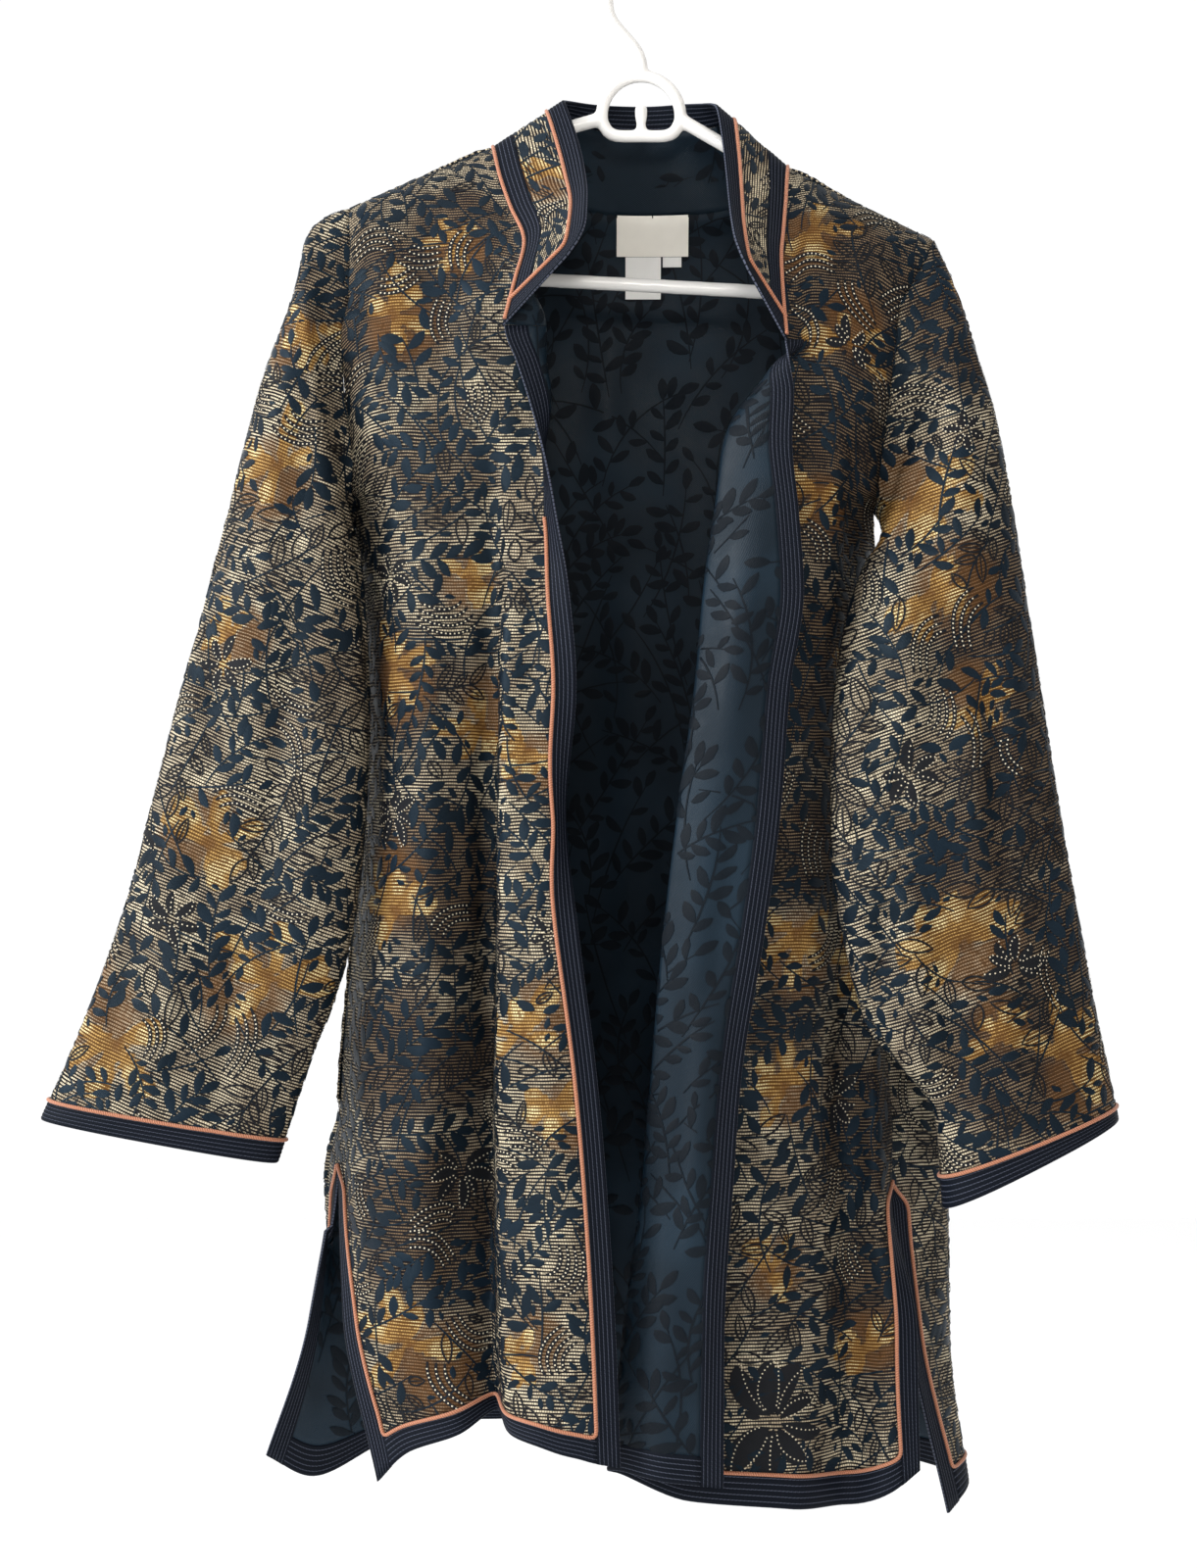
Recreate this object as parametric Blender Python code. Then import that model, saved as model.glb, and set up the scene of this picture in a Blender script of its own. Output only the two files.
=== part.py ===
import math

import bpy
import numpy as np

# The front view is measured in steps of 2/3 mm, x to the right and y down from the view's top left
# corner, and the third number of a point is its depth in mm, away from the eye.
STEP = 0.000667
EYE_DISTANCE = 2.0
VIEW_CENTRE = (610.5, 800.0)
HOOK_UNDERSIDE = (655.0, -40.0)

CLOTH = 0.0020
BAND_CLOTH = 0.0025
BAND_WIDTH = 0.015
SEAM_GAP = 0.0005
EDGE_GAP = 0.0012
CORNER_GAP = 0.0024
PIPING_RADIUS = 0.0013
PIPING_CLEAR = 0.0004
LABEL_CLOTH = 0.0010
LABEL_CLEAR = 0.0020
COLLAR_STAND_OFF = 0.0026
COLLAR_LAP = 0.0040

# A trimmed side squeezes the columns next to it, over this many times the trim.
SPREAD = 2.2

# Rows run from the shoulder down to the hem. Row numbers of the places that pieces share.
NECK_CORNER_ROW = 4
UNDERARM_ROW = 8
SLIT_ROW = 14

# Left front: columns from armhole and side seam to the free front edge.
LEFT_FRONT = [
    [(357, 214, -1), (385, 201, -1), (415, 188, -1), (445, 176, -1), (452, 173, -1),
     (465, 168, -1), (478, 162, -1), (487, 158, -1), (496, 155, -2), (503, 152, -2)],
    [(357, 255, -20), (388, 248, -28), (420, 238, -32), (450, 228, -34), (458, 225, -34),
     (472, 219, -34), (485, 213, -33), (495, 208, -33), (505, 202, -32), (513, 196, -31)],
    [(355, 300, -27), (388, 296, -38), (425, 290, -45), (465, 280, -49), (475, 277, -50),
     (492, 271, -51), (507, 265, -52), (518, 260, -53), (528, 256, -55), (536, 252, -58)],
    [(347, 345, -29), (385, 344, -42), (428, 343, -51), (478, 341, -57), (490, 340, -58),
     (520, 338, -60), (545, 336, -61), (557, 334, -68), (548, 333, -78), (514, 332, -84)],
    [(349, 372, -28), (385, 372, -43), (429, 372, -53), (480, 371, -58), (493, 371, -59),
     (523, 370, -61), (545, 369, -62), (557, 369, -66), (556, 369, -75), (527, 369, -85)],
    [(351, 400, -27), (385, 400, -44), (430, 400, -54), (482, 400, -58), (496, 400, -60),
     (525, 401, -62), (545, 402, -62), (556, 403, -64), (562, 404, -71), (539, 406, -84)],
    [(358, 500, -18), (388, 484, -42), (435, 466, -56), (495, 460, -59), (507, 460, -61),
     (520, 462, -62), (532, 464, -62), (543, 466, -63), (554, 468, -67), (557, 472, -84)],
    [(361, 522, 6), (385, 521, -36), (438, 520, -55), (508, 520, -57), (518, 520, -61),
     (529, 522, -63), (539, 524, -64), (548, 526, -65), (557, 528, -66), (568, 530, -78)],
    [(366, 600, 8), (388, 600, -36), (440, 600, -57), (509, 600, -56), (519, 600, -66),
     (532, 600, -69), (543, 600, -70), (552, 600, -71), (560, 600, -72), (580, 600, -78)],
    [(366, 700, 8), (388, 700, -38), (440, 700, -60), (505, 700, -52), (513, 700, -72),
     (530, 700, -77), (544, 700, -79), (555, 700, -80), (564, 700, -80), (588, 700, -80)],
    [(364, 830, 7), (386, 830, -40), (440, 830, -62), (504, 830, -48), (511, 830, -76),
     (525, 830, -84), (538, 830, -86), (551, 830, -87), (562, 830, -86), (577, 830, -74)],
    [(360, 950, 6), (383, 950, -42), (440, 950, -64), (504, 950, -44), (511, 950, -80),
     (528, 950, -89), (543, 950, -92), (555, 950, -93), (566, 950, -93), (590, 950, -91)],
    [(350, 1100, 5), (376, 1100, -42), (438, 1100, -66), (504, 1100, -42), (511, 1100, -86),
     (535, 1100, -98), (556, 1100, -100), (571, 1100, -101), (583, 1100, -101), (609, 1100, -100)],
    [(346, 1190, 3), (374, 1195, -44), (437, 1197, -68), (504, 1198, -42), (512, 1200, -90),
     (540, 1200, -103), (562, 1200, -106), (578, 1200, -107), (591, 1200, -107), (618, 1200, -106)],
    [(349, 1345, -30), (382, 1348, -50), (445, 1345, -70), (502, 1345, -54), (513, 1355, -92),
     (545, 1358, -108), (570, 1360, -112), (587, 1360, -113), (600, 1360, -113), (628, 1360, -112)],
    [(384, 1513, -48), (415, 1483, -58), (468, 1464, -72), (508, 1438, -56), (520, 1463, -94),
     (548, 1476, -112), (573, 1485, -116), (590, 1489, -117), (604, 1493, -117), (633, 1498, -116)],
]

# Right front: the last four columns are the part turned back over the outer face.
RIGHT_FRONT = [
    [(951, 246, -1), (925, 233, -1), (900, 221, -1), (875, 209, -1), (855, 199, -1),
     (840, 192, -1), (830, 187, -1), (822, 182, -1), (812, 177, -2), (803, 172, -2)],
    [(934, 282, -20), (915, 275, -27), (895, 267, -32), (872, 257, -34), (850, 247, -35),
     (836, 240, -35), (825, 234, -34), (816, 229, -33), (808, 225, -32), (800, 221, -31)],
    [(919, 309, -28), (901, 305, -36), (882, 299, -42), (864, 293, -46), (847, 287, -48),
     (835, 283, -50), (826, 280, -51), (818, 277, -52), (809, 274, -53), (796, 268, -55)],
    [(914, 363, -30), (895, 359, -41), (876, 356, -50), (860, 352, -54), (846, 349, -58),
     (837, 348, -60), (829, 347, -62), (822, 347, -64), (815, 347, -67), (801, 347, -74)],
    [(911, 387, -29), (892, 383, -42), (871, 379, -52), (852, 375, -57), (831, 372, -60),
     (812, 371, -62), (797, 371, -65), (790, 371, -73), (795, 372, -81), (806, 373, -86)],
    [(908, 411, -28), (888, 406, -44), (865, 402, -54), (845, 399, -59), (814, 397, -61),
     (786, 396, -63), (771, 396, -68), (774, 396, -76), (790, 397, -82), (810, 399, -82)],
    [(897, 500, -26), (880, 484, -42), (861, 466, -54), (840, 455, -60), (795, 450, -64),
     (752, 449, -64), (739, 449, -69), (750, 449, -76), (780, 450, -84), (808, 452, -83)],
    [(893, 525, -2), (878, 523, -22), (860, 521, -40), (838, 518, -56), (785, 517, -65),
     (742, 516, -65), (730, 516, -70), (742, 516, -77), (778, 518, -86), (815, 524, -84)],
    [(895, 600, 10), (883, 600, -6), (862, 600, -28), (836, 600, -55), (775, 600, -67),
     (730, 600, -67), (718, 600, -72), (730, 600, -79), (770, 600, -89), (820, 602, -86)],
    [(897, 700, 8), (884, 700, -8), (860, 700, -27), (832, 700, -55), (764, 700, -70),
     (721, 700, -70), (709, 700, -75), (721, 700, -82), (757, 700, -92), (806, 702, -88)],
    [(899, 830, 0), (886, 830, -15), (860, 830, -29), (828, 830, -57), (752, 830, -72),
     (703, 830, -72), (691, 830, -77), (703, 830, -84), (743, 830, -95), (796, 832, -91)],
    [(901, 950, -6), (888, 950, -24), (862, 950, -31), (822, 950, -61), (738, 950, -74),
     (689, 950, -74), (677, 950, -79), (689, 950, -86), (728, 950, -98), (780, 952, -94)],
    [(904, 1100, -15), (890, 1100, -38), (866, 1100, -35), (815, 1100, -66), (728, 1100, -77),
     (676, 1100, -77), (664, 1100, -82), (676, 1100, -89), (712, 1100, -102), (756, 1102, -98)],
    [(906, 1207, -22), (893, 1207, -46), (866, 1207, -38), (812, 1207, -70), (720, 1207, -80),
     (667, 1207, -80), (655, 1207, -85), (667, 1207, -92), (704, 1207, -106), (748, 1209, -102)],
    [(937, 1360, -60), (905, 1360, -66), (866, 1360, -50), (810, 1360, -78), (710, 1360, -84),
     (654, 1360, -84), (642, 1360, -89), (654, 1360, -96), (692, 1360, -112), (739, 1362, -108)],
    [(940, 1499, -72), (908, 1524, -76), (866, 1535, -58), (806, 1540, -86), (703, 1532, -86),
     (644, 1506, -86), (631, 1503, -91), (643, 1503, -98), (684, 1514, -114), (738, 1519, -110)],
]

# Back: columns from the left armhole and side seam, across the back, to the right.
BACK = [
    [(357, 214, 1), (430, 181, 1), (503, 152, 2), (540, 185, 34), (590, 213, 53), (655, 222, 60),
     (720, 218, 53), (772, 203, 34), (803, 172, 2), (879, 211, 1), (951, 246, 1)],
    [(357, 255, 20), (430, 227, 34), (498, 206, 45), (542, 220, 54), (592, 240, 61), (655, 248, 64),
     (720, 245, 61), (770, 235, 54), (812, 225, 45), (880, 258, 34), (934, 282, 20)],
    [(355, 300, 28), (428, 285, 46), (495, 272, 57), (543, 278, 63), (594, 287, 67), (655, 292, 69),
     (716, 291, 67), (767, 287, 63), (812, 282, 57), (872, 298, 46), (919, 309, 28)],
    [(347, 345, 32), (425, 345, 51), (492, 345, 62), (543, 347, 68), (596, 349, 71), (655, 350, 72),
     (713, 351, 71), (764, 352, 68), (812, 354, 61), (868, 358, 50), (914, 363, 31)],
    [(349, 372, 32), (422, 372, 52), (490, 372, 64), (542, 373, 70), (597, 375, 73), (654, 376, 74),
     (712, 377, 73), (764, 378, 69), (813, 380, 62), (867, 383, 50), (911, 387, 30)],
    [(351, 400, 31), (420, 400, 53), (488, 400, 65), (542, 401, 71), (597, 402, 74), (652, 403, 75),
     (710, 404, 74), (764, 405, 70), (814, 406, 63), (866, 408, 50), (908, 411, 28)],
    [(358, 500, 28), (408, 482, 52), (482, 464, 66), (540, 460, 72), (595, 460, 75), (650, 460, 76),
     (708, 460, 75), (764, 460, 71), (820, 464, 63), (868, 482, 50), (897, 500, 24)],
    [(361, 522, 6), (400, 521, 44), (470, 520, 65), (532, 520, 73), (590, 520, 77), (646, 520, 78),
     (706, 521, 77), (766, 522, 73), (828, 523, 64), (880, 524, 42), (893, 525, -2)],
    [(366, 600, 8), (386, 600, 42), (455, 600, 66), (522, 600, 76), (583, 600, 80), (641, 600, 80),
     (702, 600, 80), (770, 600, 76), (848, 600, 64), (903, 600, 34), (895, 600, 10)],
    [(366, 700, 8), (385, 700, 44), (450, 700, 70), (516, 700, 78), (578, 700, 80), (638, 700, 82),
     (700, 700, 84), (774, 700, 80), (858, 700, 64), (913, 700, 32), (897, 700, 8)],
    [(364, 830, 7), (383, 830, 46), (446, 830, 74), (510, 830, 80), (573, 830, 82), (635, 830, 88),
     (700, 830, 90), (780, 830, 82), (870, 830, 65), (926, 830, 28), (899, 830, 0)],
    [(360, 950, 6), (376, 950, 48), (441, 950, 78), (505, 950, 82), (570, 950, 84), (634, 950, 92),
     (702, 950, 94), (786, 950, 84), (882, 950, 66), (940, 950, 24), (901, 950, -6)],
    [(350, 1100, 5), (360, 1100, 48), (433, 1100, 84), (498, 1100, 84), (566, 1100, 86),
     (634, 1100, 98), (705, 1100, 100), (793, 1100, 84), (894, 1100, 68), (956, 1100, 18),
     (904, 1100, -15)],
    [(346, 1190, 3), (337, 1200, 40), (424, 1200, 88), (494, 1200, 86), (563, 1200, 88),
     (634, 1200, 102), (708, 1200, 104), (798, 1200, 84), (902, 1202, 68), (965, 1207, 16),
     (906, 1207, -22)],
    [(318, 1345, 36), (345, 1352, 68), (414, 1360, 94), (488, 1362, 86), (560, 1365, 90),
     (634, 1368, 108), (712, 1370, 108), (804, 1370, 84), (908, 1368, 68), (967, 1362, 16),
     (925, 1360, -34)],
    [(270, 1484, 58), (322, 1506, 78), (400, 1468, 98), (482, 1448, 86), (558, 1446, 92),
     (634, 1448, 112), (714, 1450, 110), (808, 1458, 84), (906, 1482, 66), (987, 1512, 18),
     (966, 1545, -12)],
]

# Sleeves: outer edge, inner edge, then in mm the swell to the front and to the back, and how far
# the back half stands away from the body.
LEFT_SLEEVE = [
    ((332, 222, 0), (352, 534, -2), 30, 31, 3),
    ((312, 243, -3), (354, 548, -11), 35, 36, 5),
    ((302, 290, -7), (357, 568, -18), 38, 40, 5),
    ((287, 345, -10), (359, 592, -24), 38, 41, 3),
    ((268, 402, -12), (361, 622, -29), 36, 39, 1),
    ((246, 478, -15), (363, 667, -33), 33, 35, 0),
    ((222, 570, -18), (364, 735, -37), 31, 32, 0),
    ((200, 655, -21), (362, 810, -39), 29, 30, 0),
    ((178, 740, -24), (358, 882, -40), 27, 27, 0),
    ((150, 845, -27), (350, 955, -41), 25, 24, 0),
    ((118, 955, -30), (336, 1022, -42), 23, 22, 0),
    ((80, 1058, -32), (314, 1088, -43), 22, 20, 0),
    ((43, 1142, -34), (282, 1186, -44), 21, 19, 0),
]
RIGHT_SLEEVE = [
    ((966, 276, -4), (899, 542, -10), 27, 31, 8),
    ((982, 312, -9), (892, 558, -18), 31, 35, 12),
    ((996, 358, -17), (882, 578, -27), 34, 37, 12),
    ((1011, 414, -26), (872, 604, -37), 35, 36, 8),
    ((1024, 475, -33), (863, 634, -45), 34, 31, 5),
    ((1035, 540, -39), (856, 674, -53), 33, 26, 2),
    ((1045, 610, -44), (851, 727, -61), 32, 22, 0),
    ((1058, 690, -49), (848, 797, -68), 31, 20, 0),
    ((1070, 765, -53), (849, 872, -73), 29, 18, 0),
    ((1083, 845, -56), (860, 950, -78), 27, 16, 0),
    ((1102, 952, -58), (886, 1047, -82), 27, 16, 0),
    ((1118, 1040, -60), (924, 1092, -83), 28, 18, 0),
    ((1130, 1095, -60), (954, 1136, -79), 30, 22, 0),
    ((1139, 1142, -60), (963, 1232, -74), 32, 24, 0),
]

# Collar: where its foot stands on the neck seam (piece, share of the seam from the shoulder),
# and its upper edge.
COLLAR = [
    ("left", 1.00, (590, 248, -98)),
    ("left", 0.80, (598, 222, -88)),
    ("left", 0.60, (599, 196, -70)),
    ("left", 0.40, (596, 170, -47)),
    ("left", 0.20, (589, 140, -28)),
    ("left", 0.00, (576, 103, -2)),
    ("back", 0.20, (592, 105, 20)),
    ("back", 0.36, (620, 108, 34)),
    ("back", 0.50, (655, 109, 40)),
    ("back", 0.64, (690, 107, 34)),
    ("back", 0.80, (713, 106, 20)),
    ("right", 0.00, (729, 107, -2)),
    ("right", 0.20, (737, 145, -26)),
    ("right", 0.40, (741, 180, -44)),
    ("right", 0.60, (744, 210, -60)),
    ("right", 0.80, (748, 236, -76)),
    ("right", 1.00, (756, 262, -90)),
]
NECK_BAND_TOP = 0.28

# Hanger: view points of the wire's centre line; radii across and up in metres.
HOOK_RING_CENTRE = (655, -12)
HOOK_RING_RADIUS = 35
HOOK_WIRE = 0.0043
STEM = [(619, -2), (619, 8), (622, 20), (636, 36), (650, 51), (655, 62), (655, 77)]
RING_CENTRE = (654, 118)
RING_RADIUS = 40
RING_FOOT = 139
POST_TOP = 112
ARM_LEFT = [(611, 122), (581, 130), (545, 148), (505, 168), (440, 191), (400, 208), (378, 219)]
ARM_RIGHT = [(697, 124), (728, 142), (765, 163), (805, 187), (870, 219), (905, 236), (924, 247)]
BAR_LEFT = (374, 262)
BAR_RIGHT = (926, 292)
BAR_LINE = [(392, 279), (560, 286), (761, 297), (908, 308)]

MATERIALS = {
    "brocade": ((0.30, 0.22, 0.12), 0.72, 0.0),
    "band": ((0.020, 0.022, 0.035), 0.62, 0.0),
    "piping": ((0.62, 0.24, 0.12), 0.55, 0.0),
    "label": ((0.80, 0.78, 0.70), 0.60, 0.0),
    "tape": ((0.86, 0.85, 0.82), 0.55, 0.0),
    "plastic": ((0.88, 0.87, 0.84), 0.28, 0.0),
}


def seen_at(point):
    """The place of a point of the front view that lies its own depth behind the hook's plane."""
    x, y, depth_mm = point
    depth = depth_mm / 1000.0
    spread = (EYE_DISTANCE + depth) / EYE_DISTANCE
    eye_x = (VIEW_CENTRE[0] - HOOK_UNDERSIDE[0]) * STEP
    eye_z = (HOOK_UNDERSIDE[1] - VIEW_CENTRE[1]) * STEP
    return np.array([
        eye_x + (x - VIEW_CENTRE[0]) * STEP * spread,
        depth,
        eye_z - (y - VIEW_CENTRE[1]) * STEP * spread,
    ])


def places(rows):
    return np.array([[seen_at(point) for point in row] for row in rows])


def flowing(knots, values, at):
    """Values between the knots along a curve that never swings past them."""
    knots = np.asarray(knots, float)
    values = np.asarray(values, float)
    at = np.clip(np.asarray(at, float), knots[0], knots[-1])
    step = np.diff(knots)
    shape = (-1,) + (1,) * (values.ndim - 1)
    rise = np.diff(values, axis=0) / step.reshape(shape)
    slope = np.zeros_like(values)
    before, after = rise[:-1], rise[1:]
    same_way = before * after > 0
    total = np.where(same_way, before + after, 1.0)
    slope[1:-1] = np.where(same_way, 2.0 * before * after / total, 0.0)
    slope[0], slope[-1] = rise[0], rise[-1]
    index = np.clip(np.searchsorted(knots, at, side="right") - 1, 0, len(knots) - 2)
    part = ((at - knots[index]) / step[index]).reshape(shape)
    width = step[index].reshape(shape)
    low, high = values[index], values[index + 1]
    low_slope, high_slope = slope[index], slope[index + 1]
    square, cube = part ** 2, part ** 3
    return ((2 * cube - 3 * square + 1) * low + (cube - 2 * square + part) * width * low_slope
            + (3 * square - 2 * cube) * high + (cube - square) * width * high_slope)


def mean_knots(points, axis):
    """Knots from 0 to 1 by the mean distance between neighbouring lines of a net."""
    other = 1 - axis
    steps = np.linalg.norm(np.diff(points, axis=axis), axis=2).mean(axis=other)
    knots = np.concatenate([[0.0], np.cumsum(steps)])
    return knots / knots[-1]


class Surface:
    """A smooth surface through a net of points; u runs across the net and v down it."""

    FINE = 240

    def __init__(self, net, outward, v_knots=None):
        self.u_knots = mean_knots(net, 1)
        self.v_knots = mean_knots(net, 0) if v_knots is None else v_knots
        self.line = np.linspace(0.0, 1.0, self.FINE + 1)
        down = flowing(self.v_knots, net, self.line)
        across = flowing(self.u_knots, down.transpose(1, 0, 2), self.line)
        self.fine = across.transpose(1, 0, 2)
        along_u = np.gradient(self.fine, axis=1)
        along_v = np.gradient(self.fine, axis=0)
        normal = np.cross(along_u, along_v) * outward
        self.normals = normal / np.maximum(np.linalg.norm(normal, axis=2, keepdims=True), 1e-12)

    def read(self, table, u, v):
        u, v = np.broadcast_arrays(np.asarray(u, float), np.asarray(v, float))
        a = np.clip(u, 0.0, 1.0) * self.FINE
        b = np.clip(v, 0.0, 1.0) * self.FINE
        i = np.minimum(a.astype(int), self.FINE - 1)
        j = np.minimum(b.astype(int), self.FINE - 1)
        p, q = (a - i)[..., None], (b - j)[..., None]
        return ((1 - q) * ((1 - p) * table[j, i] + p * table[j, i + 1])
                + q * ((1 - p) * table[j + 1, i] + p * table[j + 1, i + 1]))

    def points(self, u, v):
        return self.read(self.fine, u, v)

    def outward(self, u, v):
        normal = self.read(self.normals, u, v)
        return normal / np.linalg.norm(normal, axis=-1, keepdims=True)

    def u_inside(self, v, distance, from_end):
        """The u that lies a distance along the row at v from its first or last point."""
        order = self.line[::-1] if from_end else self.line
        row = self.points(order, np.full(order.shape, v))
        length = np.concatenate([[0.0], np.cumsum(np.linalg.norm(np.diff(row, axis=0), axis=1))])
        return float(np.interp(distance, length, order))

    def v_inside(self, u, distance, from_end):
        order = self.line[::-1] if from_end else self.line
        column = self.points(np.full(order.shape, u), order)
        length = np.concatenate([[0.0], np.cumsum(np.linalg.norm(np.diff(column, axis=0), axis=1))])
        return float(np.interp(distance, length, order))


def subdivided(knots, parts):
    stations = [knots[0]]
    for low, high, count in zip(knots[:-1], knots[1:], parts):
        stations += [low + (high - low) * (k + 1) / count for k in range(count)]
    return np.array(stations)


def add_object(name, corners, faces, material):
    mesh = bpy.data.meshes.new(name)
    mesh.from_pydata([tuple(map(float, corner)) for corner in corners], [], faces)
    mesh.validate()
    mesh.update()
    mesh.materials.append(material)
    piece = bpy.data.objects.new(name, mesh)
    bpy.context.collection.objects.link(piece)
    return piece


def wall(name, points, normals, thickness, material, ring=False):
    """A closed wall on both sides of a net of points; a ring net joins its last column to its first."""
    rows, columns = points.shape[:2]
    half = normals * (thickness / 2.0)
    outer = (points + half).reshape(-1, 3)
    inner = (points - half).reshape(-1, 3)
    corners = np.concatenate([outer, inner])
    below = rows * columns
    turn = normals.reshape(-1, 3)
    faces = []
    across = columns if ring else columns - 1
    for j in range(rows - 1):
        for i in range(across):
            n = (i + 1) % columns
            a, b = j * columns + i, j * columns + n
            c, d = (j + 1) * columns + n, (j + 1) * columns + i
            if np.linalg.norm(outer[a] - outer[c]) > np.linalg.norm(outer[b] - outer[d]):
                a, b, c, d = b, c, d, a
            for corner in ((a, b, c), (a, c, d)):
                faces.append(corner)
                faces.append(tuple(below + k for k in reversed(corner)))
    for i in range(across):
        n = (i + 1) % columns
        a, b = i, n
        faces.append((below + a, below + b, b, a))
        a, b = (rows - 1) * columns + i, (rows - 1) * columns + n
        faces.append((a, b, below + b, below + a))
    if not ring:
        for j in range(rows - 1):
            a, b = j * columns, (j + 1) * columns
            faces.append((a, b, below + b, below + a))
            a, b = j * columns + columns - 1, (j + 1) * columns + columns - 1
            faces.append((below + a, below + b, b, a))
    first = np.cross(corners[faces[0][1]] - corners[faces[0][0]],
                     corners[faces[0][2]] - corners[faces[0][0]])
    if np.dot(first, turn[faces[0][0]]) < 0:
        faces = [tuple(reversed(face)) for face in faces]
    return add_object(name, corners, faces, material)


def cord(name, line, normals, radius, material, sides=6, closed=False):
    """A round cord whose centre line runs through the points of line."""
    line = np.asarray(line, float)
    normals = np.asarray(normals, float)
    count = len(line)
    if closed:
        ahead, behind = np.roll(line, -1, axis=0), np.roll(line, 1, axis=0)
        along = ahead - behind
    else:
        along = np.gradient(line, axis=0)
    along /= np.linalg.norm(along, axis=1, keepdims=True)
    side = np.cross(along, normals)
    side /= np.linalg.norm(side, axis=1, keepdims=True)
    up = np.cross(side, along)
    turns = [2 * math.pi * k / sides for k in range(sides)]
    corners = np.array([
        line[k] + radius * (math.cos(t) * side[k] + math.sin(t) * up[k])
        for k in range(count) for t in turns
    ])
    faces = []
    for k in range(count if closed else count - 1):
        n = (k + 1) % count
        for s in range(sides):
            m = (s + 1) % sides
            faces.append((k * sides + s, k * sides + m, n * sides + m, n * sides + s))
    if not closed:
        faces.append(tuple(reversed(range(sides))))
        faces.append(tuple((count - 1) * sides + s for s in range(sides)))
    first = np.cross(corners[faces[0][1]] - corners[faces[0][0]],
                     corners[faces[0][3]] - corners[faces[0][0]])
    if np.dot(first, corners[faces[0][0]] - line[0]) < 0:
        faces = [tuple(reversed(face)) for face in faces]
    return add_object(name, corners, faces, material)


def new_material(name, colour, roughness, metallic):
    material = bpy.data.materials.new(name)
    material.use_nodes = True
    shader = material.node_tree.nodes["Principled BSDF"]
    shader.inputs["Base Color"].default_value = (*colour, 1.0)
    shader.inputs["Roughness"].default_value = roughness
    shader.inputs["Metallic"].default_value = metallic
    material.diffuse_color = (*colour, 1.0)
    return material


class Panel:
    """A body panel on a surface, with its trims at the free edges, the slit and the hem."""

    def __init__(self, surface, slit_ends, edge_from=None, piping_from=None):
        self.surface = surface
        self.slit_ends = slit_ends
        self.edge_from = edge_from
        self.piping_from = piping_from
        self.slit_v = surface.v_knots[SLIT_ROW]
        self.length = float(np.linalg.norm(np.diff(surface.points(
            np.full(surface.line.shape, 0.5), surface.line), axis=0), axis=1).sum())
        self.rise = BAND_WIDTH / self.length

    def bound(self, v, end, extra=0.0):
        """The u where the cloth ends on one side at v, extra metres further in."""
        surface = self.surface
        inset = SEAM_GAP / 2.0
        if end in self.slit_ends:
            inset = CORNER_GAP / 2.0
            share = np.clip((v - self.slit_v) / self.rise, 0.0, 1.0)
            inset += share * BAND_WIDTH
        if end and self.edge_from is not None and v >= self.edge_from:
            inset += BAND_WIDTH
        return surface.u_inside(v, inset + extra, end)

    def net(self, across, down):
        """The cloth's u and v at every station, trimmed on its four sides."""
        hem = self.hem_v()
        down = np.array([v for v in down if v < hem - self.rise / 4] + [hem])
        extra_rows = [self.slit_v + self.rise * share for share in (0.0, 1.0, 2.0, 3.5)]
        if self.edge_from is not None:
            extra_rows += [self.edge_from - 0.1 * self.rise, self.edge_from]
        kept = [v for v in down if min(abs(v - e) for e in extra_rows) > 0.3 * self.rise]
        down = np.array(sorted(kept + extra_rows))
        self.rows = down
        u = np.tile(across, (len(down), 1))
        v = np.tile(down[:, None], (1, len(across)))
        for j, at in enumerate(down):
            low, high = self.bound(at, 0), 1.0 - self.bound(at, 1)
            near_low = low + across * (SPREAD - 1.0) / SPREAD
            near_high = 1.0 - high - (1.0 - across) * (SPREAD - 1.0) / SPREAD
            u[j] = np.where(across < SPREAD * low, near_low, across)
            u[j] = np.where(1.0 - across < SPREAD * high, near_high, u[j])
        self.hem_u = u[-1]
        return u, v

    def hem_v(self):
        return 1.0 - (BAND_WIDTH + SEAM_GAP / 2.0) / self.length


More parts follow.
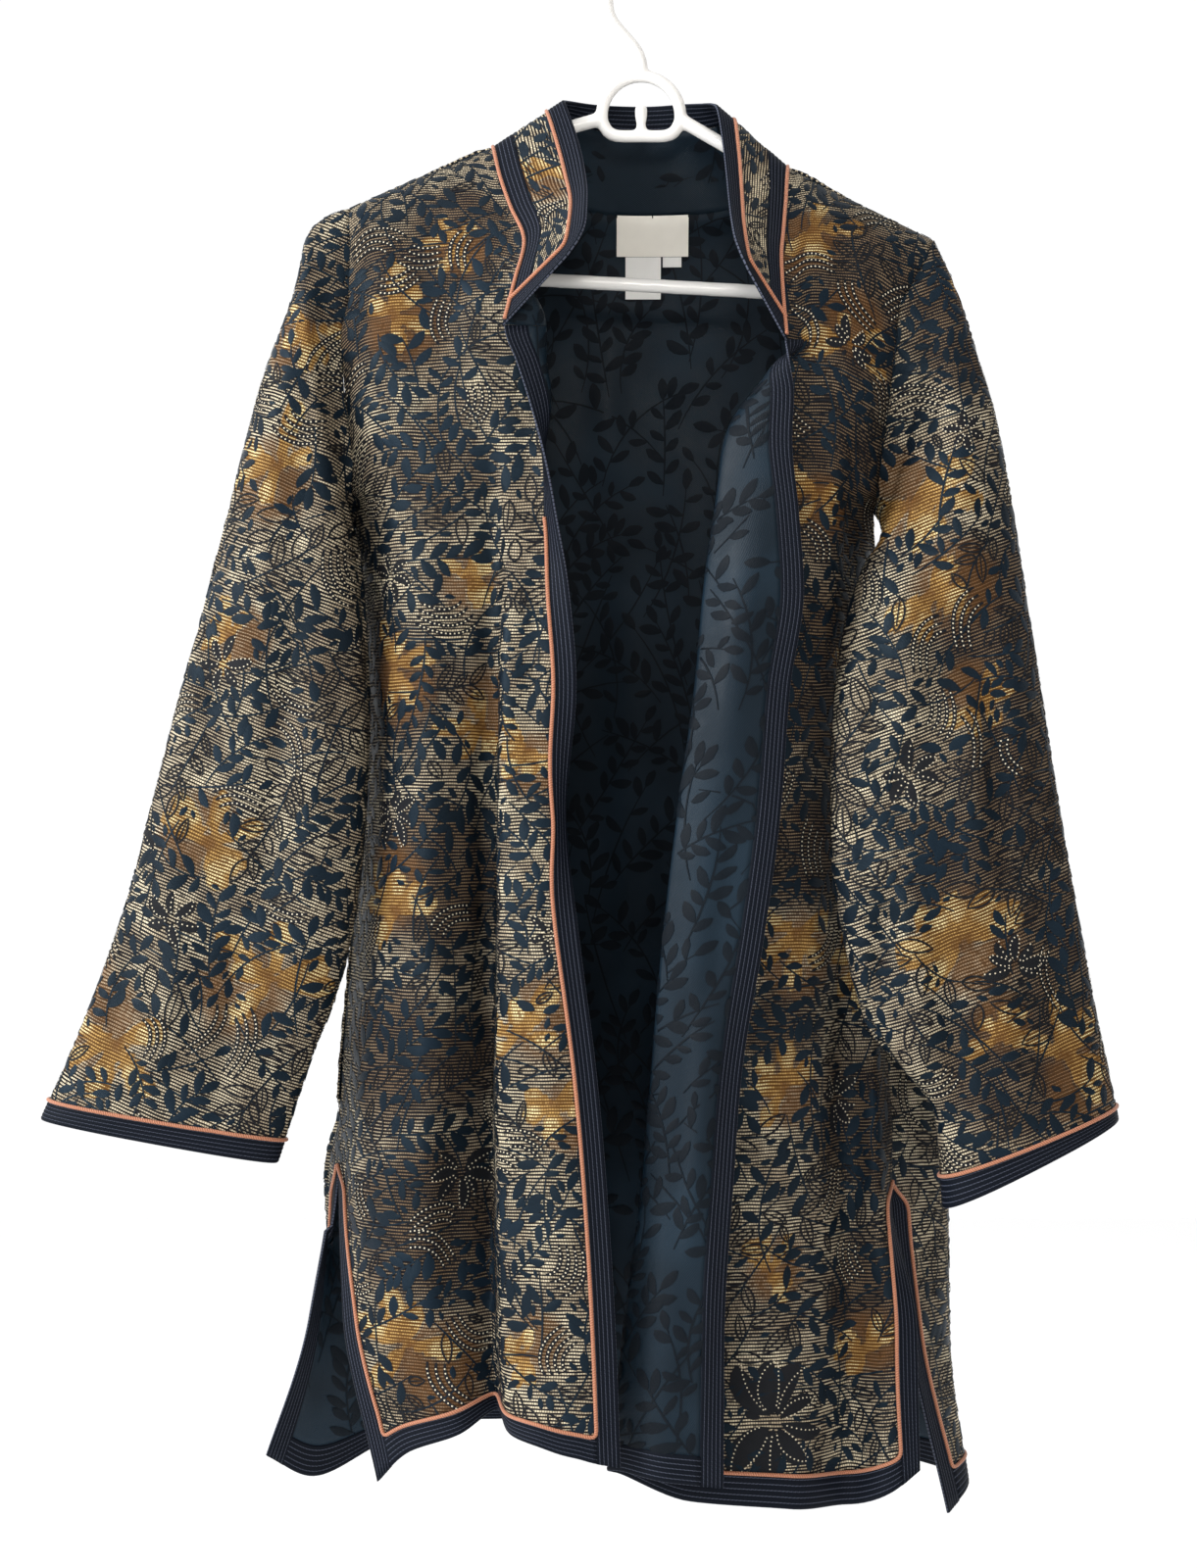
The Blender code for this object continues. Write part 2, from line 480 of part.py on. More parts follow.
def main():
    for piece in list(bpy.data.objects):
        bpy.data.objects.remove(piece, do_unlink=True)
    paint = {name: new_material(name, *look) for name, look in MATERIALS.items()}

    def shoulder_roll(net, depth):
        """A row just below the shoulder seam, so that the cloth lies over the hanger's arm."""
        roll = net[0] * 0.8 + net[1] * 0.2
        roll[:, 1] = net[0][:, 1] + depth * np.where(np.abs(net[0][:, 1]) < 0.004, 1.0, 0.0)
        return np.concatenate([net[:1], roll[None], net[1:]])

    left_net = shoulder_roll(places(LEFT_FRONT), -0.010)
    right_net = shoulder_roll(places(RIGHT_FRONT), -0.010)
    back_net = shoulder_roll(places(BACK), 0.010)
    v_knots = mean_knots(back_net, 0)
    left = Surface(left_net, 1, v_knots)
    right = Surface(right_net, -1, v_knots)
    back = Surface(back_net, -1, v_knots)
    for surface, name in ((left, "left"), (right, "right"), (back, "back")):
        middle = surface.outward(0.3, 0.6)
        if (middle[1] > 0) != (name == "back"):
            surface.normals = -surface.normals

    neck_v = {"left": left.v_knots[NECK_CORNER_ROW], "right": right.v_knots[NECK_CORNER_ROW]}
    front_parts = {
        "left": (left, (2, 2, 2, 2, 1, 1, 1, 1, 1)),
        "right": (right, (2, 1, 1, 2, 2, 2, 2, 1, 2)),
    }
    row_parts = (1, 2, 2, 3, 2, 2, 3, 2, 1, 1, 2, 2, 2, 1, 4, 3)

    def trim_strip(name, surface, outer, inner, thickness, material, cells=1):
        """A band between two lines of (u, v) points on a surface."""
        outer, inner = np.asarray(outer), np.asarray(inner)
        shares = np.linspace(0.0, 1.0, cells + 1)
        u = np.array([o[0] + (i[0] - o[0]) * shares for o, i in zip(outer, inner)])
        v = np.array([o[1] + (i[1] - o[1]) * shares for o, i in zip(outer, inner)])
        return wall(name, surface.points(u, v), surface.outward(u, v), thickness, material)

    def lie_on(surface, line, lift):
        line = np.asarray(line)
        normals = surface.outward(line[:, 0], line[:, 1])
        points = surface.points(line[:, 0], line[:, 1])
        along = np.diff(points, axis=0)
        along /= np.linalg.norm(along, axis=1, keepdims=True)
        before, after = np.vstack([along[:1], along]), np.vstack([along, along[-1:]])

        def across_of(direction):
            square = normals - direction * np.sum(normals * direction, axis=1, keepdims=True)
            return square / np.linalg.norm(square, axis=1, keepdims=True)

        first, second = across_of(before), across_of(after)
        mitre = first + second
        mitre /= np.linalg.norm(mitre, axis=1, keepdims=True)
        stretch = 1.0 / np.clip(np.sum(mitre * first, axis=1, keepdims=True), 0.45, 1.0)
        return points + mitre * stretch * lift, mitre

    piping_lift = BAND_CLOTH / 2.0 + PIPING_RADIUS + PIPING_CLEAR
    free_u = 1.0

    def make_panel(name, panel, across_parts):
        surface = panel.surface
        across = subdivided(surface.u_knots, across_parts)
        down = subdivided(surface.v_knots, row_parts)
        u, v = panel.net(across, down)
        wall(name, surface.points(u, v), surface.outward(u, v), CLOTH, paint["brocade"])
        hem = panel.hem_v()
        gap_v = SEAM_GAP / panel.length

        # Hem band, between the bands of the two free sides.
        lower = [(panel.bound(1.0, 0, SEAM_GAP / 2), 1.0)]
        upper = [(panel.bound(hem + gap_v, 0, SEAM_GAP / 2), hem + gap_v)]
        last = panel.bound(1.0, 1, SEAM_GAP / 2)
        for station in panel.hem_u[1:-1]:
            lower.append((station, 1.0))
            upper.append((station, hem + gap_v))
        lower.append((last, 1.0))
        upper.append((panel.bound(hem + gap_v, 1, SEAM_GAP / 2), hem + gap_v))
        trim_strip(name + "_hem_band", surface, lower, upper, BAND_CLOTH, paint["band"])

        # Bands on the slit edges and on the front edge, each down to the hem's lower edge.
        for end in panel.slit_ends:
            stations = [s for s in panel.rows if s > panel.slit_v + 1.1 * panel.rise] + [1.0]
            rim = surface.u_inside(panel.slit_v, CORNER_GAP / 2, end)
            outer = [(rim, panel.slit_v + 1.5 * gap_v)]
            inner = [(panel.bound(panel.slit_v + panel.rise, end, -SEAM_GAP), panel.slit_v
                      + panel.rise + 1.5 * gap_v)]
            for at in stations:
                outer.append((surface.u_inside(at, CORNER_GAP / 2, end), at))
                inner.append((panel.bound(at, end, -SEAM_GAP), at))
            trim_strip(name + ("_right" if end else "_left") * (len(panel.slit_ends) > 1)
                       + "_slit_band", surface, outer, inner, BAND_CLOTH, paint["band"])
        if panel.edge_from is not None:
            stations = [s for s in panel.rows if s > panel.edge_from + 0.1 * panel.rise] + [1.0]
            top = panel.edge_from + 1.5 * gap_v
            outer = [(free_u, top)]
            inner = [(panel.bound(top, 1, -2 * EDGE_GAP), top)]
            for at in stations:
                gap = EDGE_GAP * (2 if at < panel.edge_from + 2 * panel.rise else 1)
                outer.append((free_u, at))
                inner.append((panel.bound(at, 1, -gap), at))
            trim_strip(name + "_edge_band", surface, outer, inner, BAND_CLOTH, paint["band"])

        # One piping runs round all the trims of the panel.
        def side_line(end, start):
            return [(panel.bound(at, end), at) for at in panel.rows if start < at]

        slit_start = panel.slit_v + 0.5 * panel.rise
        slit_first = [(panel.bound(panel.slit_v, 0, 0.0015), panel.slit_v)]
        cord_line = slit_first + side_line(0, slit_start)
        low_u, high_u = panel.bound(hem, 0), panel.bound(hem, 1)
        cord_line += [(s, hem) for s in panel.hem_u if low_u + 0.02 < s < high_u - 0.02]
        if panel.edge_from is not None:
            cord_line += list(reversed(side_line(1, panel.piping_from)))
        else:
            cord_line += list(reversed(side_line(1, slit_start)))
            cord_line.append((panel.bound(panel.slit_v, 1, 0.0015), panel.slit_v))
        line, normals = lie_on(surface, cord_line, piping_lift)
        cord(name + "_piping", line, normals, PIPING_RADIUS, paint["piping"], sides=5)

    panels = {}
    for side, (surface, parts) in front_parts.items():
        piping_from = surface.v_knots[UNDERARM_ROW if side == "left" else UNDERARM_ROW - 1]
        panels[side] = Panel(surface, (0,), neck_v[side], piping_from)
        make_panel(side + "_front", panels[side], parts)
    panels["back"] = Panel(back, (0, 1))
    make_panel("back", panels["back"], (2, 2, 1, 1, 1, 1, 1, 1, 3, 3))

    # Sleeves start from the armhole, the loop of the front's and the back's side edges.
    def armhole(front, rear, rear_end, outward):
        underarm = front.v_knots[UNDERARM_ROW]
        rear_underarm = rear.v_knots[UNDERARM_ROW]
        shares = np.linspace(0.0, 1.0, 41)
        front_line = front.points(np.zeros(41), shares * underarm)
        rear_line = rear.points(np.full(41, rear_end), shares * rear_underarm)
        loop = []
        for turn in ring_turns:
            source = front_line if turn <= math.pi else rear_line
            drop = (source[0, 2] - source[:, 2]) / (source[0, 2] - source[-1, 2])
            share = (1.0 - flattened(math.cos(turn))) / 2.0
            point = np.array([np.interp(share, drop, source[:, k]) for k in range(3)])
            loop.append(point + np.array([outward * CORNER_GAP / 2, 0.0, 0.0]))
        return np.array(loop)

    def flattened(share):
        return math.copysign(abs(share) ** 0.85, share)

    around = 16
    ring_turns = [2 * math.pi * k / around for k in range(around)]

    def sleeve_ring(row, outward):
        outer, inner, front_swell, back_swell, away = row
        outer, inner = seen_at(outer), seen_at(inner)
        middle, reach = (outer + inner) / 2.0, (outer - inner) / 2.0
        ring = []
        for turn in ring_turns:
            swell = front_swell if turn < math.pi else back_swell
            depth = -flattened(math.sin(turn)) * swell / 1000.0
            aside = outward * away / 1000.0 * max(0.0, -math.sin(turn))
            ring.append(middle + reach * flattened(math.cos(turn)) + np.array([aside, depth, 0.0]))
        return np.array(ring)

    for side, table, front, rear_end, outward in (
            ("left", LEFT_SLEEVE, left, 0.0, -1.0), ("right", RIGHT_SLEEVE, right, 1.0, 1.0)):
        net = np.array([armhole(front, back, rear_end, outward)]
                       + [sleeve_ring(row, outward) for row in table])
        knots = mean_knots(net, 0)
        length = float(np.linalg.norm(np.diff(net.mean(axis=1), axis=0), axis=1).sum())
        stations = subdivided(knots, (1,) * 7 + (2,) * (len(knots) - 9) + (1,))
        hem = 1.0 - BAND_WIDTH / length
        stations = [s for s in stations if s < hem - 0.01]

        def ring_net(at):
            points = flowing(knots, net, at)
            around_line = np.roll(points, -1, axis=1) - np.roll(points, 1, axis=1)
            downward = flowing(knots, net, np.minimum(np.array(at) + 0.01, 1.0)) - flowing(
                knots, net, np.maximum(np.array(at) - 0.01, 0.0))
            normal = np.cross(around_line, downward)
            normal /= np.linalg.norm(normal, axis=2, keepdims=True)
            away = points - points.mean(axis=1, keepdims=True)
            if np.sum(normal * away) < 0:
                normal = -normal
            return points, normal

        gap = SEAM_GAP / length
        points, normals = ring_net(stations + [hem - gap / 2])
        wall(side + "_sleeve", points, normals, CLOTH, paint["brocade"], ring=True)
        points, normals = ring_net([hem + gap / 2, 1.0])
        wall(side + "_cuff_band", points, normals, BAND_CLOTH, paint["band"], ring=True)
        points, normals = ring_net([hem])
        cord(side + "_cuff_piping", points[0] + normals[0] * piping_lift, normals[0],
             PIPING_RADIUS, paint["piping"], sides=5, closed=True)

    # Collar, on the neck seam.
    neck_from, neck_to = back.u_knots[2], back.u_knots[8]
    foot, head = [], []
    for where, share, top in COLLAR:
        if where == "back":
            foot.append(back.points(neck_from + (neck_to - neck_from) * share, 0.0))
        else:
            front = left if where == "left" else right
            foot.append(front.points(1.0, share * neck_v[where]))
        head.append(seen_at(top))
    foot, head = np.array(foot), np.array(head)
    rise = head - foot
    lap = np.array([share ** 2 if where != "back" else 0.0 for where, share, top in COLLAR])
    foot = foot + rise / np.linalg.norm(rise, axis=1, keepdims=True) * COLLAR_STAND_OFF
    foot[:, 1] -= COLLAR_LAP * lap
    collar_net = np.array([foot + (head - foot) * share for share in (0.0, 1 / 3, 2 / 3, 1.0)])
    collar = Surface(collar_net, 1)
    side_point = collar.points(0.5, 0.5)
    if np.dot(collar.outward(0.5, 0.5), np.array([0.0, 1.0, 0.0])) < 0 < side_point[1]:
        collar.normals = -collar.normals

    stations = subdivided(collar.u_knots, (1, 1, 1, 1, 1, 2, 2, 1, 1, 2, 2, 1, 1, 1, 1, 1))
    height = float(np.linalg.norm(rise, axis=1).mean())
    band_top = 1.0 - BAND_WIDTH / height
    gap_v = SEAM_GAP / height
    first = collar.u_inside(0.5, BAND_WIDTH, False)
    last = collar.u_inside(0.5, BAND_WIDTH, True)
    gap_u = 1.5 * SEAM_GAP / BAND_WIDTH * first
    between = [s for s in stations if first + 0.015 < s < last - 0.015]
    across = np.array([first + gap_u] + between + [last - gap_u])

    def collar_piece(name, low, high, cells, thickness, material):
        heights = np.linspace(low, high, cells + 1)
        u = np.tile(across, (cells + 1, 1))
        v = np.tile(heights[:, None], (1, len(across)))
        wall(name, collar.points(u, v), collar.outward(u, v), thickness, material)

    collar_piece("neck_band", 0.0, NECK_BAND_TOP, 1, BAND_CLOTH, paint["band"])
    collar_piece("collar", NECK_BAND_TOP + gap_v, band_top - 2 * gap_v, 2, CLOTH, paint["brocade"])

    short = 0.12
    outer = [(0.0, 0.0), (0.0, 0.35), (0.0, 0.6), (0.0, 0.86), (0.35 * first, 0.97), (first, 1.0)]
    inner = [(first, 0.0), (first, 0.33), (first, band_top - short), (first, band_top - 0.04),
             (first, band_top), (first * 1.4, band_top)]
    outer += [(s, 1.0) for s in between]
    inner += [(s, band_top) for s in between]
    outer[-len(between) - 1] = (first, 1.0)
    mirror = 1.0 - last
    outer += [(last, 1.0), (1.0 - 0.35 * mirror, 0.97), (1.0, 0.86), (1.0, 0.6), (1.0, 0.35),
              (1.0, 0.0)]
    inner += [(1.0 - 1.4 * mirror, band_top), (last, band_top),
              (last, band_top - 0.04), (last, band_top - short), (last, 0.33), (last, 0.0)]
    trim_strip("collar_band", collar, outer, inner, BAND_CLOTH, paint["band"])
    line, normals = lie_on(collar, inner, piping_lift)
    cord("collar_piping", line, normals, PIPING_RADIUS, paint["piping"], sides=5)
    short_of = [first + 0.010] + between + [last - 0.010]
    line, normals = lie_on(collar, [(s, 0.045) for s in short_of], piping_lift)
    cord("neck_piping", line, normals, PIPING_RADIUS, paint["piping"], sides=5)

    # Labels on the inner face of the back.
    def label(name, corner_low, corner_high, lift, thickness, material):
        """A small patch between two corners, found by their place in the front view."""
        low, high = seen_at(corner_low), seen_at(corner_high)
        xs = np.linspace(low[0], high[0], 4)
        zs = np.linspace(low[2], high[2], 3)
        flat = back.fine.reshape(-1, 3)
        points, normals = [], []
        for z in zs:
            row, turned = [], []
            for x in xs:
                near = np.argmin((flat[:, 0] - x) ** 2 + (flat[:, 2] - z) ** 2)
                spot = flat[near].copy()
                spot[0], spot[2] = x, z
                row.append(spot)
                turned.append((0.0, 1.0, 0.0))
            points.append(row)
            normals.append(turned)
        points, normals = np.array(points), np.array(normals)
        points = points - normals * lift
        wall(name, points, normals, thickness, material)

    label_lift = CLOTH / 2 + LABEL_CLOTH / 2 + LABEL_CLEAR
    label("neck_label", (629, 228, 62), (702, 262, 62), label_lift, LABEL_CLOTH, paint["label"])
    label("care_label", (638, 263, 64), (674, 305, 64), label_lift, LABEL_CLOTH, paint["tape"])
    label("size_tab", (676, 263, 64), (695, 273, 64), label_lift, LABEL_CLOTH, paint["tape"])
    make_hanger(paint["plastic"])


def joined(name, shapes, material):
    """One object from shapes that run into each other."""
    base = shapes[0]
    for other in shapes[1:]:
        union = base.modifiers.new("join", "BOOLEAN")
        union.operation = "UNION"
        union.solver = "EXACT"
        union.object = other
        bpy.context.view_layer.update()
        result = bpy.data.meshes.new_from_object(
            base.evaluated_get(bpy.context.evaluated_depsgraph_get()))
        base.modifiers.remove(union)
        base.data = result
        bpy.data.objects.remove(other, do_unlink=True)
    base.name = name
    base.data.materials.clear()
    base.data.materials.append(material)
    for face in base.data.polygons:
        face.material_index = 0
    return base


def make_hanger(material):
    forward = np.array([0.0, -1.0, 0.0])

    def rod(name, view_points, radius, sides=10, closed=False):
        line = np.array([seen_at((x, y, 0.0)) for x, y in view_points])
        return cord(name, line, np.tile(forward, (len(line), 1)), radius, material, sides, closed)

    centre_x, centre_y = HOOK_RING_CENTRE
    hook = []
    for degrees in range(-5, 191, 15):
        turn = math.radians(degrees)
        hook.append((centre_x + HOOK_RING_RADIUS * math.cos(turn),
                     centre_y - HOOK_RING_RADIUS * math.sin(turn)))
    hook_line = hook[:-1] + STEM
    shapes = [rod("hook", hook_line, HOOK_WIRE)]

    ring_x, ring_y = RING_CENTRE
    ring = [(ring_x + RING_RADIUS * math.cos(math.radians(d)),
             ring_y - RING_RADIUS * math.sin(math.radians(d))) for d in range(0, 181, 20)]
    foot_half = [(RING_RADIUS - 2, RING_FOOT - 11), (RING_RADIUS - 12, RING_FOOT - 1)]
    ring += [(ring_x - x, y) for x, y in foot_half] + [(ring_x, RING_FOOT)]
    ring += [(ring_x + x, y) for x, y in reversed(foot_half)]
    shapes.append(rod("ring", ring, HOOK_WIRE, closed=True))
    shapes.append(rod("post", [(ring_x, POST_TOP), (ring_x, RING_FOOT)], 0.0036))
    frame = ARM_LEFT + [BAR_LEFT] + BAR_LINE + [BAR_RIGHT] + list(reversed(ARM_RIGHT))
    shapes.append(rod("arms", frame, 0.0048))
    joined("hanger", shapes, material)


main()
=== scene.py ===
import math
import random

import bpy
import numpy as np
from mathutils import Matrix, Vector


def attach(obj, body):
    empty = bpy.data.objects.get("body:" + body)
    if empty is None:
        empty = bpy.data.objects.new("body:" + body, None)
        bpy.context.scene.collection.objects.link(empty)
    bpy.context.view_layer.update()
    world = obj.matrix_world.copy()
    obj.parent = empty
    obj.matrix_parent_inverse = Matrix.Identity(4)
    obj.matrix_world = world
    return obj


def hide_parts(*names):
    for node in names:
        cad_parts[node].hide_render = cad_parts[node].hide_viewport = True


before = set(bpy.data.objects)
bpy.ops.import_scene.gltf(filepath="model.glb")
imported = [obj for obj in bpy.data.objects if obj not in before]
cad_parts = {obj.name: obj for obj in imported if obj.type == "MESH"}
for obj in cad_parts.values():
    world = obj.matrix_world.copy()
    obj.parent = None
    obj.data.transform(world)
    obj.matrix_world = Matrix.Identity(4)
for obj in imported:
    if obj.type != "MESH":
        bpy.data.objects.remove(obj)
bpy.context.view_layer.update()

# The front view is measured in steps of 2/3 mm, x to the right and y down from the view's top left
# corner, and the third number of a point is its depth in mm, away from the eye.
STEP = 0.000667
EYE_DISTANCE = 2.0
VIEW_CENTRE = (610.5, 800.0)
HOOK_UNDERSIDE = (655.0, -40.0)
TO_VIEWER = (0.0, -1.0, 0.0)
AWAY = (0.0, 1.0, 0.0)

# Sizes in metres. The collar's front ends stand in front of the fronts by its lap.
BAND_WIDTH = 0.015
CORNER_GAP = 0.0024
PIPING_RADIUS = 0.0013
COLLAR_LAP = 0.0040

# Rows run from the shoulder down to the hem, and the row that shoulder_roll adds counts with them.
# Row numbers of the places that pieces share.
NECK_CORNER_ROW = 4
UNDERARM_ROW = 8
SLIT_ROW = 14

# Left front: columns from armhole and side seam to the free front edge.
LEFT_FRONT = [
    [(357, 214, -1), (385, 201, -1), (415, 188, -1), (445, 176, -1), (452, 173, -1),
     (465, 168, -1), (478, 162, -1), (487, 158, -1), (496, 155, -2), (503, 152, -2)],
    [(357, 255, -20), (388, 248, -28), (420, 238, -32), (450, 228, -34), (458, 225, -34),
     (472, 219, -34), (485, 213, -33), (495, 208, -33), (505, 202, -32), (513, 196, -31)],
    [(355, 300, -27), (388, 296, -38), (425, 290, -45), (465, 280, -49), (475, 277, -50),
     (492, 271, -51), (507, 265, -52), (518, 260, -53), (528, 256, -55), (536, 252, -58)],
    [(347, 345, -29), (385, 344, -42), (428, 343, -51), (478, 341, -57), (490, 340, -58),
     (520, 338, -60), (545, 336, -61), (557, 334, -68), (548, 333, -78), (514, 332, -84)],
    [(349, 372, -28), (385, 372, -43), (429, 372, -53), (480, 371, -58), (493, 371, -59),
     (523, 370, -61), (545, 369, -62), (557, 369, -66), (556, 369, -75), (527, 369, -85)],
    [(351, 400, -27), (385, 400, -44), (430, 400, -54), (482, 400, -58), (496, 400, -60),
     (525, 401, -62), (545, 402, -62), (556, 403, -64), (562, 404, -71), (539, 406, -84)],
    [(358, 500, -18), (388, 484, -42), (435, 466, -56), (495, 460, -59), (507, 460, -61),
     (520, 462, -62), (532, 464, -62), (543, 466, -63), (554, 468, -67), (557, 472, -84)],
    [(361, 522, 6), (385, 521, -36), (438, 520, -55), (508, 520, -57), (518, 520, -61),
     (529, 522, -63), (539, 524, -64), (548, 526, -65), (557, 528, -66), (568, 530, -78)],
    [(366, 600, 8), (388, 600, -36), (440, 600, -57), (509, 600, -56), (519, 600, -66),
     (532, 600, -69), (543, 600, -70), (552, 600, -71), (560, 600, -72), (580, 600, -78)],
    [(366, 700, 8), (388, 700, -38), (440, 700, -60), (505, 700, -52), (513, 700, -72),
     (530, 700, -77), (544, 700, -79), (555, 700, -80), (564, 700, -80), (588, 700, -80)],
    [(364, 830, 7), (386, 830, -40), (440, 830, -62), (504, 830, -48), (511, 830, -76),
     (525, 830, -84), (538, 830, -86), (551, 830, -87), (562, 830, -86), (577, 830, -74)],
    [(360, 950, 6), (383, 950, -42), (440, 950, -64), (504, 950, -44), (511, 950, -80),
     (528, 950, -89), (543, 950, -92), (555, 950, -93), (566, 950, -93), (590, 950, -91)],
    [(350, 1100, 5), (376, 1100, -42), (438, 1100, -66), (504, 1100, -42), (511, 1100, -86),
     (535, 1100, -98), (556, 1100, -100), (571, 1100, -101), (583, 1100, -101), (609, 1100, -100)],
    [(346, 1190, 3), (374, 1195, -44), (437, 1197, -68), (504, 1198, -42), (512, 1200, -90),
     (540, 1200, -103), (562, 1200, -106), (578, 1200, -107), (591, 1200, -107), (618, 1200, -106)],
    [(349, 1345, -30), (382, 1348, -50), (445, 1345, -70), (502, 1345, -54), (513, 1355, -92),
     (545, 1358, -108), (570, 1360, -112), (587, 1360, -113), (600, 1360, -113), (628, 1360, -112)],
    [(384, 1513, -48), (415, 1483, -58), (468, 1464, -72), (508, 1438, -56), (520, 1463, -94),
     (548, 1476, -112), (573, 1485, -116), (590, 1489, -117), (604, 1493, -117), (633, 1498, -116)],
]

# Right front: the last four columns are the part turned back over the outer face.
RIGHT_FRONT = [
    [(951, 246, -1), (925, 233, -1), (900, 221, -1), (875, 209, -1), (855, 199, -1),
     (840, 192, -1), (830, 187, -1), (822, 182, -1), (812, 177, -2), (803, 172, -2)],
    [(934, 282, -20), (915, 275, -27), (895, 267, -32), (872, 257, -34), (850, 247, -35),
     (836, 240, -35), (825, 234, -34), (816, 229, -33), (808, 225, -32), (800, 221, -31)],
    [(919, 309, -28), (901, 305, -36), (882, 299, -42), (864, 293, -46), (847, 287, -48),
     (835, 283, -50), (826, 280, -51), (818, 277, -52), (809, 274, -53), (796, 268, -55)],
    [(914, 363, -30), (895, 359, -41), (876, 356, -50), (860, 352, -54), (846, 349, -58),
     (837, 348, -60), (829, 347, -62), (822, 347, -64), (815, 347, -67), (801, 347, -74)],
    [(911, 387, -29), (892, 383, -42), (871, 379, -52), (852, 375, -57), (831, 372, -60),
     (812, 371, -62), (797, 371, -65), (790, 371, -73), (795, 372, -81), (806, 373, -86)],
    [(908, 411, -28), (888, 406, -44), (865, 402, -54), (845, 399, -59), (814, 397, -61),
     (786, 396, -63), (771, 396, -68), (774, 396, -76), (790, 397, -82), (810, 399, -82)],
    [(897, 500, -26), (880, 484, -42), (861, 466, -54), (840, 455, -60), (795, 450, -64),
     (752, 449, -64), (739, 449, -69), (750, 449, -76), (780, 450, -84), (808, 452, -83)],
    [(893, 525, -2), (878, 523, -22), (860, 521, -40), (838, 518, -56), (785, 517, -65),
     (742, 516, -65), (730, 516, -70), (742, 516, -77), (778, 518, -86), (815, 524, -84)],
    [(895, 600, 10), (883, 600, -6), (862, 600, -28), (836, 600, -55), (775, 600, -67),
     (730, 600, -67), (718, 600, -72), (730, 600, -79), (770, 600, -89), (820, 602, -86)],
    [(897, 700, 8), (884, 700, -8), (860, 700, -27), (832, 700, -55), (764, 700, -70),
     (721, 700, -70), (709, 700, -75), (721, 700, -82), (757, 700, -92), (806, 702, -88)],
    [(899, 830, 0), (886, 830, -15), (860, 830, -29), (828, 830, -57), (752, 830, -72),
     (703, 830, -72), (691, 830, -77), (703, 830, -84), (743, 830, -95), (796, 832, -91)],
    [(901, 950, -6), (888, 950, -24), (862, 950, -31), (822, 950, -61), (738, 950, -74),
     (689, 950, -74), (677, 950, -79), (689, 950, -86), (728, 950, -98), (780, 952, -94)],
    [(904, 1100, -15), (890, 1100, -38), (866, 1100, -35), (815, 1100, -66), (728, 1100, -77),
     (676, 1100, -77), (664, 1100, -82), (676, 1100, -89), (712, 1100, -102), (756, 1102, -98)],
    [(906, 1207, -22), (893, 1207, -46), (866, 1207, -38), (812, 1207, -70), (720, 1207, -80),
     (667, 1207, -80), (655, 1207, -85), (667, 1207, -92), (704, 1207, -106), (748, 1209, -102)],
    [(937, 1360, -60), (905, 1360, -66), (866, 1360, -50), (810, 1360, -78), (710, 1360, -84),
     (648, 1360, -84), (636, 1360, -89), (648, 1360, -96), (690, 1360, -112), (739, 1362, -108)],
    [(940, 1499, -72), (908, 1524, -76), (866, 1535, -58), (806, 1540, -86), (703, 1532, -86),
     (633, 1504, -86), (620, 1501, -91), (632, 1501, -98), (680, 1513, -114), (738, 1519, -110)],
]

